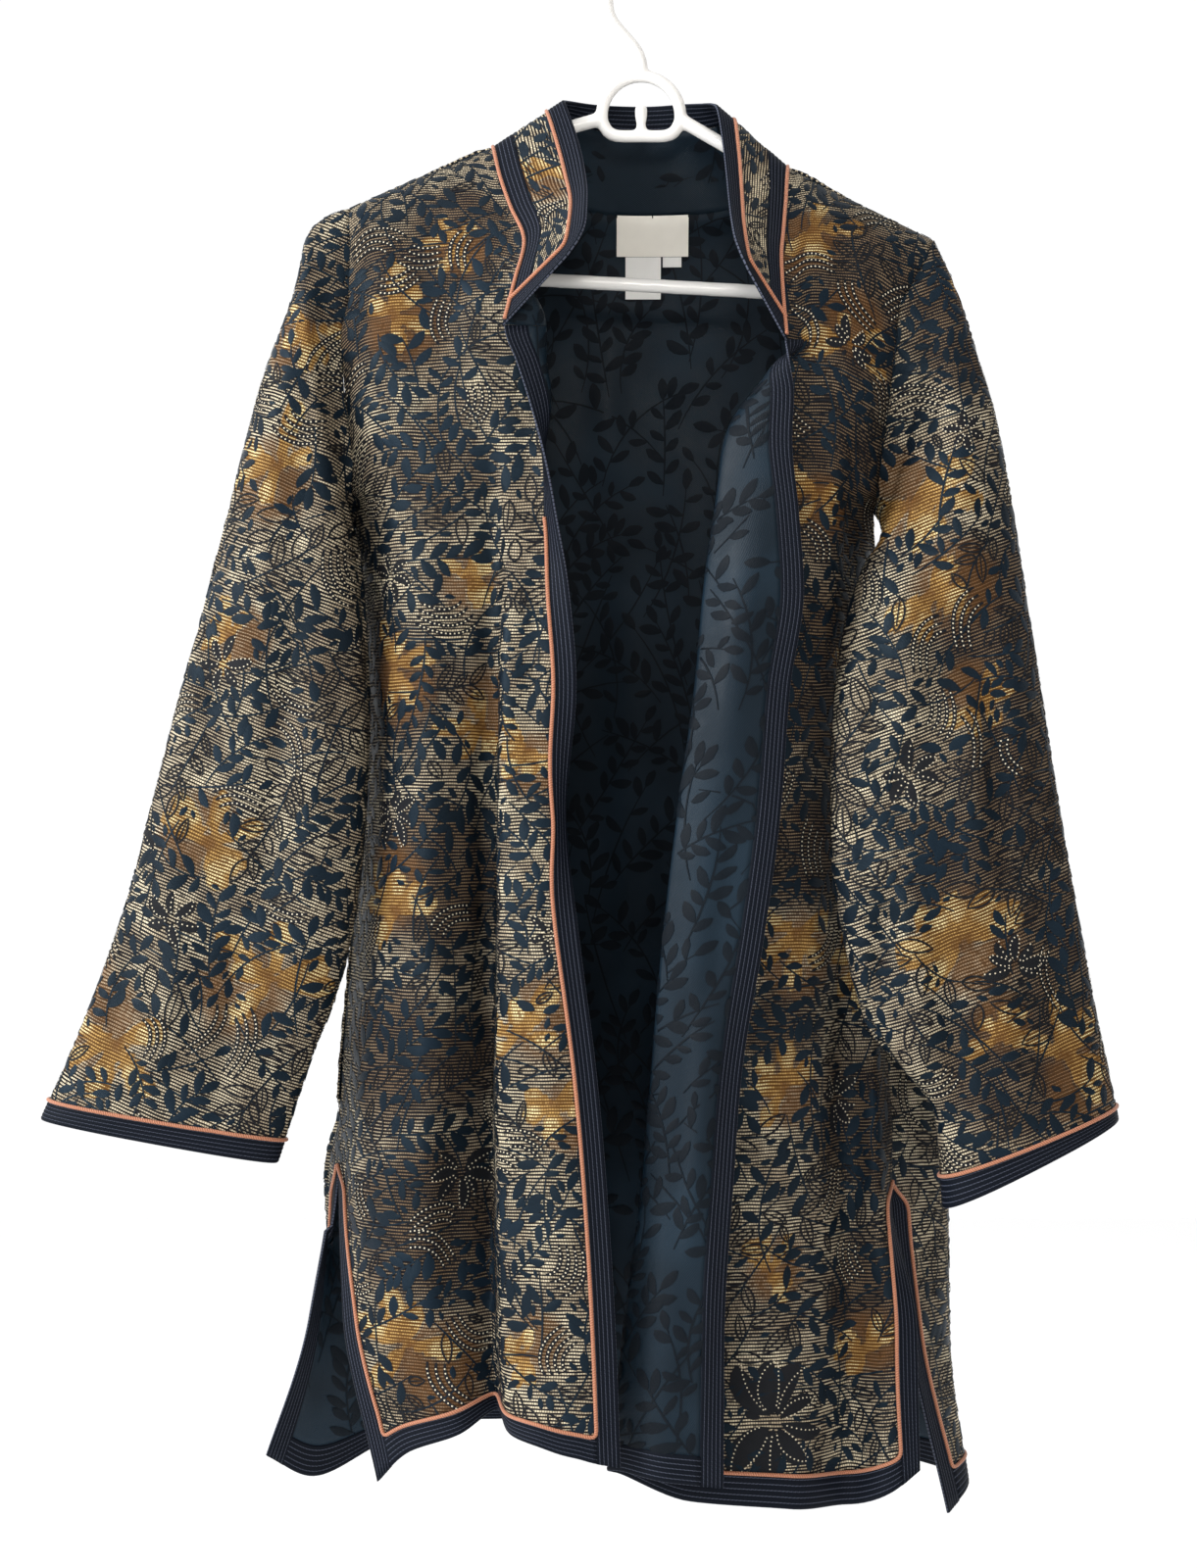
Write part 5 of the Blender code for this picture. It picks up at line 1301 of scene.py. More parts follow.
    def build(self, name, materials):
        """One mesh of all the nets, cut off at the cloth's borders."""
        counts = [len(net) * len(net[0]) for net, lifts, slot in self.nets]
        flat = np.concatenate([net.reshape(-1, 2) for net, lifts, slot in self.nets])
        u, v = self.cloth.find(flat, counts)
        kept_u, kept_v = self.held(u, v)
        beyond = (np.abs(kept_u - u) > 1e-6) | (np.abs(kept_v - v) > 1e-6)
        raised = np.concatenate([np.tile(lifts, net.shape[0]) for net, lifts, slot in self.nets])
        height = (HALF_CLOTH + FIGURE_LIFT + raised) * self.face
        corners = self.cloth.lifted(kept_u, kept_v, height)
        normals = self.cloth.outward(kept_u, kept_v) * self.face
        faces, slots = [], []
        for (net, lifts, slot), start in zip(self.nets, np.cumsum([0] + counts)):
            faces.append(grid_faces(*net.shape[:2]) + start)
            slots += [slot] * len(faces[-1])
        faces, slots = np.concatenate(faces), np.array(slots)
        keep = ~beyond[faces].all(axis=1)
        faces, slots = faces[keep], slots[keep]
        a, b, c, d = (corners[faces[:, k]] for k in range(4))
        turn = np.cross(c - a, d - b)
        size = np.linalg.norm(turn, axis=1)
        keep = size > NO_AREA
        faces, slots, turn = faces[keep], slots[keep], turn[keep]
        away = np.sum(turn * normals[faces[:, 0]], axis=1) < 0
        faces = np.where(away[:, None], faces[:, ::-1], faces)
        used, numbers = np.unique(faces, return_inverse=True)
        shape = Shape()
        shape.add(corners[used], numbers.reshape(-1, 4), flat[used])
        shape.slots = slots.tolist()
        made[name] = shape.build(name, materials)


def rows_of(table, name):
    """A cloth's rows of a table, each with the half of the cloth in front."""
    return [(half, *row) for (cloth, half), rows in table.items() if cloth == name for row in rows]


# The share of dyed flowers whose middle stays free of woven figures.
BARE_SHARE = 0.9


def fill_outside(figures, name):
    """The outer face: dark flowers and arcs first, then sprigs, then single leaves in the gaps."""
    draw = figures.draw
    cloth = figures.cloth
    for half, x, y, size_mm, petals in rows_of(DARK_FLOWERS, name):
        figures.dotted_fan(cloth.measures_at(x, y, half), size_mm / 1000.0, petals)
    circle = ways_of(np.linspace(0.0, 2 * math.pi, 40))
    for half, x, y, radius_mm, petals in rows_of(DYED_FLOWERS, name):
        if draw.random() < BARE_SHARE:
            reach = np.concatenate([share * radius_mm / 1000.0 * circle
                                    for share in (0.05, 0.15, 0.25, 0.35, 0.45)])
            figures.take(cloth.measures_at(x, y, half) + reach, 1)
    for _ in figures.tries(ARC_TRIES):
        figures.dotted_arcs(figures.anywhere(), figures.any_way(), draw.uniform(0.032, 0.052),
                            draw.choice((2, 3, 3, 4)))
    for _ in figures.tries(SPRIG_TRIES):
        outlined = draw.random() < 0.22
        figures.sprig(figures.anywhere(), figures.any_way(), draw.uniform(0.035, 0.080),
                      draw.randint(6, 11), draw.uniform(0.0115, 0.0165) * (1.25 if outlined else 1.0),
                      outlined)
    for _ in figures.tries(OUTLINE_TRIES):
        size = draw.uniform(0.010, 0.022)
        figures.outlined_leaf(figures.anywhere(), figures.any_way(), size,
                              size * draw.uniform(0.38, 0.55), most=0.06)
    for _ in figures.tries(LEAF_TRIES):
        size = draw.uniform(0.0055, 0.013)
        figures.leaf(figures.anywhere(), figures.any_way(), size, size * 0.44, most=0.02)


def fill_inside(figures):
    """The inner face: sprigs that all point much the same way."""
    draw = figures.draw
    for _ in figures.tries(INSIDE_TRIES):
        figures.sprig(figures.anywhere(), draw.uniform(-2.4, -0.7), draw.uniform(0.06, 0.11),
                      draw.randint(7, 12), draw.uniform(0.013, 0.018), slot=0)


# Dark flowers: cloth and half, then where the middle is seen, size in mm, petals.
DARK_FLOWERS = {
    ("left_sleeve", "front"): [(228, 678, 42, 6), (176, 938, 39, 6)],
    ("left_front", "front"): [
        (400, 590, 34, 6), (402, 832, 41, 7), (470, 1195, 45, 7), (560, 955, 27, 5),
    ],
    ("right_sleeve", "front"): [(928, 792, 41, 6), (1035, 985, 42, 7), (985, 440, 31, 6)],
    ("right_front", "front"): [(866, 352, 34, 6), (790, 1452, 76, 8), (850, 1120, 41, 7)],
    ("back", "back"): [
        (560, 420, 44, 7), (760, 640, 48, 7), (470, 860, 45, 6), (650, 1080, 49, 7),
        (830, 1220, 41, 6), (480, 1330, 44, 7),
    ],
    ("left_sleeve", "back"): [(150, 850, 42, 6)],
    ("right_sleeve", "back"): [(1030, 700, 41, 6)],
}

# Dyed flowers: cloth and half, then where the middle is seen, radius in mm, petals.
DYED_FLOWERS = {
    ("left_sleeve", "front"): [
        (284, 476, 36, 5), (316, 335, 26, 5), (212, 862, 34, 6), (276, 1000, 38, 6),
        (120, 1062, 40, 5), (235, 650, 24, 5),
    ],
    ("left_front", "front"): [
        (400, 322, 30, 5), (400, 680, 34, 5), (492, 740, 32, 5), (478, 592, 24, 5),
        (405, 930, 36, 6), (538, 765, 26, 5), (530, 1060, 34, 5), (566, 1125, 28, 5),
        (415, 1372, 38, 5), (536, 1382, 24, 5), (470, 250, 24, 5),
    ],
    ("right_front", "front"): [
        (826, 235, 32, 5), (862, 350, 30, 5), (836, 500, 24, 5), (872, 690, 26, 5),
        (815, 950, 34, 5), (880, 985, 30, 6), (800, 1110, 28, 5), (886, 1378, 26, 5),
        (782, 1300, 26, 5),
    ],
    ("right_sleeve", "front"): [
        (930, 512, 40, 6), (948, 606, 36, 5), (1000, 720, 24, 5), (982, 962, 42, 6),
        (1085, 1082, 36, 5), (1020, 1060, 24, 5), (975, 300, 22, 5),
    ],
    ("collar", "front"): [(560, 180, 22, 5)],
    ("back", "back"): [
        (480, 330, 36, 5), (620, 300, 32, 6), (790, 380, 36, 5), (560, 520, 38, 6),
        (700, 500, 30, 5), (840, 560, 34, 5), (440, 660, 36, 5), (640, 700, 38, 6),
        (780, 780, 32, 5), (560, 860, 34, 5), (860, 900, 36, 5), (430, 980, 34, 6),
        (700, 950, 38, 5), (560, 1080, 34, 5), (800, 1080, 34, 6), (420, 1180, 36, 5),
        (640, 1240, 38, 5), (900, 1260, 32, 5), (380, 1390, 30, 5), (540, 1380, 34, 5),
        (740, 1390, 36, 6),
    ],
    ("left_sleeve", "back"): [
        (300, 420, 34, 5), (240, 620, 36, 6), (240, 830, 34, 5), (130, 1020, 36, 5),
        (240, 1080, 30, 5),
    ],
    ("right_sleeve", "back"): [
        (960, 450, 36, 5), (940, 660, 34, 6), (1020, 860, 38, 5), (1010, 1080, 34, 5),
    ],
}


def smooth_step(value, low, high):
    share = np.clip((value - low) / (high - low), 0.0, 1.0)
    return share * share * (3.0 - 2.0 * share)


def dye_and_shade_at(weave, name):
    """Gold, brown, light gold and painted-shade shares at each pair of cloth measures."""
    shares = np.zeros((len(weave), 4))
    # Painted shade: the fourth share, taken from the table of dark places below.
    for half, x, y, radius_mm, most in rows_of(PAINTED_SHADE_PLACES, name):
        far = np.linalg.norm(weave - cloths[name].measures_at(x, y, half), axis=1)
        cloud = smooth_step(1.0 - far * 1000.0 / radius_mm, 0.0, 0.8) * most
        shares[:, 3] = np.maximum(shares[:, 3], cloud)
    draw = random.Random("dye " + name)
    for side, x, y, radius_mm, petals in rows_of(DYED_FLOWERS, name):
        middle = cloths[name].measures_at(x, y, side)
        reach = (weave - middle) / (radius_mm / 1000.0)
        first = draw.uniform(0.0, 2 * math.pi)
        for k in range(petals):
            turn = first + 4.6 * k / petals + draw.uniform(-0.3, 0.3)
            length, width = draw.uniform(0.70, 1.30), draw.uniform(0.30, 0.46)
            lit = draw.uniform(0.55, 1.0)
            way = np.array([math.cos(turn), math.sin(turn)])
            along = reach @ way / length
            aside = reach @ np.array([-way[1], way[0]])
            far = np.clip(along, 0.0, 1.0)
            half = width * far ** 0.7 * np.sqrt(1.0 - far ** 5) + 1e-6
            inside = smooth_step(1.0 - np.abs(aside) / half, 0.0, 0.45)
            inside = inside * (along > 0.0) * (along < 1.0)
            share = aside / half
            shares[:, 0] = np.maximum(shares[:, 0], inside)
            glow = inside * smooth_step(along, 0.25, 0.55) * smooth_step(share, -0.8, 0.0) * lit
            shares[:, 2] = np.maximum(shares[:, 2], glow)
            shade = inside * np.maximum(1.0 - smooth_step(along, 0.05, 0.35),
                                        1.0 - smooth_step(share, -0.85, -0.25))
            shares[:, 1] = np.maximum(shares[:, 1] * (1.0 - inside * 0.8), shade)
        drift = np.array([draw.uniform(-0.6, 0.6), draw.uniform(-0.6, 0.6)])
        cloud = smooth_step(1.4 - np.linalg.norm(reach - drift, axis=1), 0.0, 0.9) * 0.85
        shares[:, 1] = np.maximum(shares[:, 1], cloud * (1.0 - shares[:, 0]))
    return shares


# Painted shade: browner, darker places where the cloth lies in shade; cloth and half, then where the
# middle is seen, radius in mm, share.
PAINTED_SHADE_PLACES = {
    ("right_front", "front"): [
        (862, 300, 120, 1.0), (830, 860, 80, 0.8), (856, 480, 105, 1.0), (850, 690, 100, 1.0),
        (800, 1050, 60, 0.7), (880, 1150, 90, 0.8), (905, 1330, 90, 0.9), (800, 1330, 50, 0.5),
    ],
    ("left_front", "front"): [
        (470, 1080, 60, 0.8), (440, 1420, 70, 0.6), (500, 1300, 60, 0.7), (430, 1250, 95, 0.9),
        (450, 900, 90, 0.9), (400, 300, 95, 0.9), (470, 240, 75, 0.9), (400, 700, 80, 0.8),
        (440, 480, 75, 0.6), (400, 1080, 80, 0.9),
    ],
    ("right_sleeve", "front"): [
        (985, 330, 90, 1.0), (1035, 640, 100, 1.0), (1062, 800, 100, 1.0), (1095, 970, 95, 1.0),
        (1040, 1090, 85, 0.9), (990, 880, 80, 0.8),
    ],
    ("left_sleeve", "front"): [(322, 300, 60, 0.5), (340, 700, 50, 0.5), (210, 700, 45, 0.4)],
    ("collar", "back"): [(810, 200, 60, 0.6)],
    ("back", "back"): [
        (600, 400, 100, 0.5), (500, 720, 95, 0.5), (760, 900, 100, 0.6), (600, 1220, 110, 0.6),
        (850, 600, 80, 0.5), (400, 1300, 80, 0.6),
    ],
    ("left_sleeve", "back"): [(250, 700, 75, 0.5), (170, 1000, 70, 0.6)],
    ("right_sleeve", "back"): [(980, 560, 80, 0.6), (1040, 960, 80, 0.6)],
}


def add_figures(name, cloth, held):
    """The woven figures of a cloth's outer face and of its inner face."""
    outside = Figures(cloth, held, 1.0, "outside " + name)
    fill_outside(outside, name)
    outside.build(name + "_figures", [paint["leaf"], paint["line"], paint["dot"]])
    inside = Figures(cloth, held, -1.0, "inside " + name)
    fill_inside(inside)
    inside.build(name + "_inside_figures", [paint["vine"]])


class Panel:
    """A body panel of a cloth, with its trims at the free edge, the slits and the hem."""

    def __init__(self, cloth, slit_ends, edge_from=None, piping_from=None):
        self.cloth = cloth
        self.slit_ends = slit_ends
        self.edge_from = edge_from
        self.piping_from = piping_from
        self.slit_v = cloth.v_knots[SLIT_ROW]
        middle = cloth.points(np.full(cloth.v_line.shape, 0.5), cloth.v_line)
        self.length = float(steps_of(middle).sum())
        self.rise = BAND_WIDTH / self.length
        self.hem = 1.0 - self.rise
        self.lines = np.linspace(0.0, 1.0, 321)
        self.limits = np.array([[self.bound(v, 0), 1.0 - self.bound(v, 1)] for v in self.lines])

    def bound(self, v, end, extra=0.0):
        """The u where the cloth ends on one side at v, extra metres further in."""
        inset = extra
        if end in self.slit_ends:
            share = np.clip((v - self.slit_v) / self.rise, 0.0, 1.0)
            inset += share * BAND_WIDTH + min(share * 3.0, 1.0) * CORNER_GAP / 2
        if end and self.edge_from is not None and v >= self.edge_from:
            inset += BAND_WIDTH
        return self.cloth.u_inside(v, inset, end)

    def net(self, cell):
        """The cloth's u and v on a fine net, trimmed on its four sides."""
        rows = int(self.length / cell)
        down = np.linspace(0.0, self.hem, rows)
        extra = [self.slit_v + self.rise * share for share in (0.0, 0.25, 0.5, 0.75, 1.0)]
        if self.edge_from is not None:
            extra += [self.edge_from - 0.02 * self.rise, self.edge_from]
        down = np.array(sorted([v for v in down if min(abs(v - e) for e in extra) > 0.1 * self.rise]
                               + extra))
        low = np.array([self.bound(v, 0) for v in down])
        high = np.array([self.bound(v, 1) for v in down])
        widest = self.cloth.points(self.cloth.u_line, np.full(self.cloth.u_line.shape, 0.8))
        shares = np.linspace(0.0, 1.0, int(steps_of(widest).sum() / cell))
        u = low[:, None] + (high - low)[:, None] * shares
        return u, np.tile(down[:, None], (1, len(shares)))

    def held(self, u, v):
        """u and v kept within the cloth's trimmed borders."""
        v = np.clip(v, 0.0, self.hem)
        low = np.interp(v, self.lines, self.limits[:, 0])
        high = 1.0 - np.interp(v, self.lines, self.limits[:, 1])
        return np.clip(u, low, high), v


BAND_CELLS = 18
BAND_RIB_LIFT = 0.00030
# How far a band that is sewn on one face only reaches into the cloth.
BAND_UNDER = 0.0001
PIPING_CELL = 0.003
# The piping's middle line lies this much above a band's outer face.
PIPING_SEAT = 0.0006
# A band runs this much beyond the seam, under the piping.
BAND_OVER = 0.0010
PIPING_INSET = 0.0015


def add_band(shape, cloth, outer, inner, outside_only=False):
    """A ribbed band between two lines of (u, v) on a cloth."""
    outer, inner = np.asarray(outer, float), np.asarray(inner, float)
    shares = np.linspace(0.0, 1.0, BAND_CELLS + 1)
    u = outer[:, :1] + (inner[:, :1] - outer[:, :1]) * shares
    v = outer[:, 1:] + (inner[:, 1:] - outer[:, 1:]) * shares
    middle = cloth.points(u[:, BAND_CELLS // 2], v[:, BAND_CELLS // 2])
    length = lengths_along(middle)
    ribs = np.abs(np.sin(math.pi * BAND_RIBS * shares)) ** 0.6 * BAND_RIB_LIFT
    crown = 1.0 - 0.55 * np.abs(2.0 * shares - 1.0) ** 10
    profile = (HALF_BAND + ribs) * crown
    weave = np.stack(net_of(shares, length), axis=-1)
    under = np.full(profile.shape, BAND_UNDER) if outside_only else profile
    add_wall(shape, cloth, u, v, profile, under, 0, 0, weave=weave)


def resampled(line, cell):
    """The points of a line, evenly and finely spaced."""
    line = np.asarray(line, float)
    length = lengths_along(line)
    at = np.linspace(0.0, length[-1], max(4, int(length[-1] / cell)))
    return np.stack([np.interp(at, length, line[:, k]) for k in range(line.shape[1])], axis=-1)


def rounded(line, passes):
    for _ in range(passes):
        line = line.copy()
        line[1:-1] = line[1:-1] * 0.5 + (line[:-2] + line[2:]) * 0.25
    return line


def add_piping(shape, cloth, line, closed=False):
    """Corded piping on the outer face, along a line of (u, v)."""
    line = np.asarray(line, float)
    points = cloth.lifted(line[:, 0], line[:, 1], np.full(len(line), HALF_BAND + PIPING_SEAT))
    if not closed:
        points = rounded(resampled(points, PIPING_CELL), 2)
    add_cord(shape, points, PIPING_RADIUS, sides=10, closed=closed)


# Body panels.
def shoulder_roll(net, depth):
    """A row just below the shoulder seam, so that the cloth lies over the hanger's arm."""
    roll = net[0] * 0.8 + net[1] * 0.2
    roll[:, 1] = net[0][:, 1] + depth * np.where(np.abs(net[0][:, 1]) < 0.004, 1.0, 0.0)
    return np.concatenate([net[:1], roll[None], net[1:]])


ROLL_DEPTH = 0.010
SEAM_TROUGH_MM = (4.5, -2.0)
left_net = shoulder_roll(places(LEFT_FRONT), -ROLL_DEPTH)
right_net = shoulder_roll(places(RIGHT_FRONT), -ROLL_DEPTH)
back_net = shoulder_roll(places(BACK), ROLL_DEPTH)
knots = mean_knots(back_net, 0)


def seam_line(net):
    """A shallow trough along the armhole's seam, as a row of a table of creases."""
    return ("both", view_of(net[:UNDERARM_ROW + 3, 0]).tolist(), *SEAM_TROUGH_MM)


ARMHOLE_SEAMS = {"left": [seam_line(left_net)], "right": [seam_line(right_net)]}
cloths.update({
    "left_front": cloth_of(left_net, TO_VIEWER, knots, LEFT_CREASES + ARMHOLE_SEAMS["left"]),
    "right_front": cloth_of(right_net, TO_VIEWER, knots, RIGHT_CREASES + ARMHOLE_SEAMS["right"],
                            origin_u=0.2),
    "back": cloth_of(back_net, AWAY, knots, BACK_CREASES + ARMHOLE_SEAMS["left"]
                     + ARMHOLE_SEAMS["right"], columns=420),
})
panels = {
    "left_front": Panel(cloths["left_front"], (0,), knots[NECK_CORNER_ROW], knots[UNDERARM_ROW]),
    "right_front": Panel(cloths["right_front"], (0,), knots[NECK_CORNER_ROW],
                         knots[UNDERARM_ROW - 1]),
    "back": Panel(cloths["back"], (0, 1)),
}


def sewn(piece, slot, *nodes):
    """Keeps a piece and hides the CAD nodes that it replaces; its slot is not used."""
    made[piece.name] = piece
    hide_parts(*nodes)


def sew_cloth(name, cloth, u, v, held, ring=False):
    """The cloth of a piece with its dye and painted shade, and the figures woven on both of its faces.
    """
    shape = Shape()
    add_wall(shape, cloth, u, v, HALF_CLOTH, HALF_CLOTH, 0, 1, ring=ring)
    piece = shape.build(name + "_cloth", [paint["ground"], paint["inside"]])
    add_dye_and_shade(piece, cloth, u, v, name)
    sewn(piece, "brocade", name)
    add_figures(name, cloth, held)


def sew_trims(name, bands, band_nodes, piping, piping_nodes):
    sewn(bands.build(name + "_bands", [paint["band"]]), "band", *band_nodes)
    sewn(piping.build(name + "_cord", [paint["piping"]]), "piping", *piping_nodes)


# How many points a band's and a piping's line has along each side of a panel.
HEM_STATIONS = {"back": 110, "left_front": 64, "right_front": 64}
SLIT_STATIONS, EDGE_STATIONS = 40, 210
SLIT_PIPING, HEM_PIPING, EDGE_PIPING = 60, 90, 200


def make_panel(name, panel):
    cloth = panel.cloth
    sew_cloth(name, cloth, *panel.net(CELL), panel.held)

    def down_side(end, first, last, count, inwards=0.0):
        """Points where the cloth ends on one side, or that many metres further in."""
        return [(panel.bound(at, end, inwards), at) for at in np.linspace(first, last, count)]

    bands, piping = Shape(), Shape()
    nodes = [name + "_hem_band"]
    hem_ends = panel.bound(panel.hem, 0), panel.bound(panel.hem, 1)
    stations = np.linspace(panel.bound(1.0, 0), panel.bound(1.0, 1), HEM_STATIONS[name])
    tops = np.linspace(*hem_ends, len(stations))
    over_v = panel.hem - BAND_OVER / panel.length
    add_band(bands, cloth, [(s, 1.0) for s in stations], [(s, over_v) for s in tops])
    for end in panel.slit_ends:
        which = ("_left", "_right")[end] if len(panel.slit_ends) > 1 else ""
        nodes.append(name + which + "_slit_band")
        inner = down_side(end, panel.slit_v, 1.0, SLIT_STATIONS, BAND_OVER)
        outer = [(cloth.u_inside(at, CORNER_GAP / 2, end), at) for s, at in inner]
        add_band(bands, cloth, outer, inner)
    if panel.edge_from is not None:
        nodes.append(name + "_edge_band")
        inner = down_side(1, panel.edge_from, 1.0, EDGE_STATIONS, BAND_OVER)
        add_band(bands, cloth, [(1.0, at) for s, at in inner], inner)

    # The piping starts just above the slit's top, a little in from the side.
    top_v = panel.slit_v - 0.1 * panel.rise
    from_v = panel.slit_v + 0.15 * panel.rise
    line = [(panel.bound(panel.slit_v, 0, PIPING_INSET), top_v)]
    line += down_side(0, from_v, panel.hem, SLIT_PIPING)
    line += [(s, panel.hem) for s in np.linspace(*hem_ends, HEM_PIPING)[1:-1]]
    if panel.edge_from is not None:
        line += down_side(1, panel.hem, panel.piping_from, EDGE_PIPING)
    else:
        line += down_side(1, panel.hem, from_v, SLIT_PIPING)
        line.append((panel.bound(panel.slit_v, 1, PIPING_INSET), top_v))
    add_piping(piping, cloth, line)
    sew_trims(name, bands, nodes, piping, [name + "_piping"])


def add_dye_and_shade(piece, cloth, u, v, name):
    """The dyed flowers and the painted shade, as a colour at every corner: see dye_and_shade_at."""
    corners = len(piece.data.vertices)
    spots = dye_and_shade_at(cloth.weave(u, v).reshape(-1, 2), name)
    both = np.concatenate([spots, spots])[:corners]
    layer = piece.data.attributes.new("dye", "FLOAT_COLOR", "POINT")
    layer.data.foreach_set("color", both.astype(np.float32).ravel())


for name, panel in panels.items():
    make_panel(name, panel)


# Sleeves: points of a ring in the tables, rows and columns of the cloth's fine net, cells round the
# mesh, points of the cuff's band and piping, and a length in metres that sets the mesh's rows.
AROUND = 16
SLEEVE_ROWS, SLEEVE_COLUMNS = 640, 320
SLEEVE_CELLS = 108
CUFF_STATIONS, CUFF_PIPING = 97, 150
SLEEVE_LENGTH = 0.60
ARMHOLE_POINTS = 81


def flattened(share):
    return math.copysign(abs(share) ** 0.85, share)


ring_turns = [math.pi - 2 * math.pi * k / AROUND for k in range(AROUND)]


def armhole(front, rear, rear_end):
    """The loop of the front's and the back's side edges, from the underarm round the front."""
    shares = np.linspace(0.0, 1.0, ARMHOLE_POINTS)
    front_line = front.points(np.zeros(ARMHOLE_POINTS), shares * front.v_knots[UNDERARM_ROW])
    rear_line = rear.points(np.full(ARMHOLE_POINTS, rear_end), shares * rear.v_knots[UNDERARM_ROW])
    loop = []
    for turn in ring_turns:
        source = front_line if math.sin(turn) >= -1e-9 else rear_line
        drop = (source[0, 2] - source[:, 2]) / (source[0, 2] - source[-1, 2])
        share = (1.0 - flattened(math.cos(turn))) / 2.0
        loop.append(np.array([np.interp(share, drop, source[:, k]) for k in range(3)]))
    return np.array(loop)


def sleeve_ring(row, outward):
    outer, inner, front_swell, back_swell, away = row
    outer, inner = seen_at(outer), seen_at(inner)
    middle, reach = (outer + inner) / 2.0, (outer - inner) / 2.0
    ring = []
    for turn in ring_turns:
        swell = front_swell if math.sin(turn) >= -1e-9 else back_swell
        depth = -flattened(math.sin(turn)) * swell / 1000.0
        aside = outward * away / 1000.0 * max(0.0, -math.sin(turn))
        ring.append(middle + reach * flattened(math.cos(turn)) + np.array([aside, depth, 0.0]))
    return np.array(ring)


# Sleeves: rings, creases, the back's u at the armhole, the way out along x, and the way that the
# grain runs down the sleeve.
SLEEVES = {
    "left": (LEFT_SLEEVE, LEFT_SLEEVE_CREASES, 0.0, -1.0, (-0.42, 0.0, -1.0)),
    "right": (RIGHT_SLEEVE, RIGHT_SLEEVE_CREASES, 1.0, 1.0, (0.38, 0.0, -1.0)),
}


def make_sleeve(side):
    table, creases, rear_end, outward, grain = SLEEVES[side]
    front = cloths[side + "_front"]
    net = np.array([armhole(front, cloths["back"], rear_end)]
                   + [sleeve_ring(row, outward) for row in table])
    v_knots = mean_knots(net, 0)
    fine = flowing(v_knots, net, np.linspace(0.0, 1.0, SLEEVE_ROWS + 1))
    fine = round_loops(fine, SLEEVE_COLUMNS)
    fine = softened(fine, 6, ring=True)
    fine = np.concatenate([fine, fine[:, :1]], axis=1)
    cloth = Cloth(fine, v_knots, TO_VIEWER, creases + ARMHOLE_SEAMS[side], ring=True,
                  origin_u=0.25, grain=grain)
    cloths[side + "_sleeve"] = cloth
    length = float(steps_of(net.mean(axis=1)).sum())
    hem = 1.0 - BAND_WIDTH / length
    turns = np.arange(SLEEVE_CELLS) / SLEEVE_CELLS
    u, v = net_of(turns, np.linspace(0.0, hem, int(SLEEVE_LENGTH / CELL)))
    sew_cloth(side + "_sleeve", cloth, u, v,
              lambda u, v: (np.clip(u, 0.0, 1.0), np.clip(v, 0.0, hem)), ring=True)

    bands, piping = Shape(), Shape()
    turns = np.linspace(0.0, 1.0, CUFF_STATIONS)
    over_v = hem - BAND_OVER / length
    add_band(bands, cloth, [(t, 1.0) for t in turns], [(t, over_v) for t in turns])
    turns = np.arange(CUFF_PIPING) / CUFF_PIPING
    add_piping(piping, cloth, [(t, hem) for t in turns], closed=True)
    cuff = side + "_cuff"
    sew_trims(cuff, bands, [cuff + "_band"], piping, [cuff + "_piping"])


for side in SLEEVES:
    make_sleeve(side)


# Collar, on the neck seam, with a cord at its foot.
NECK_CORD_AT = 0.03
COLLAR_TUCK = 0.0010


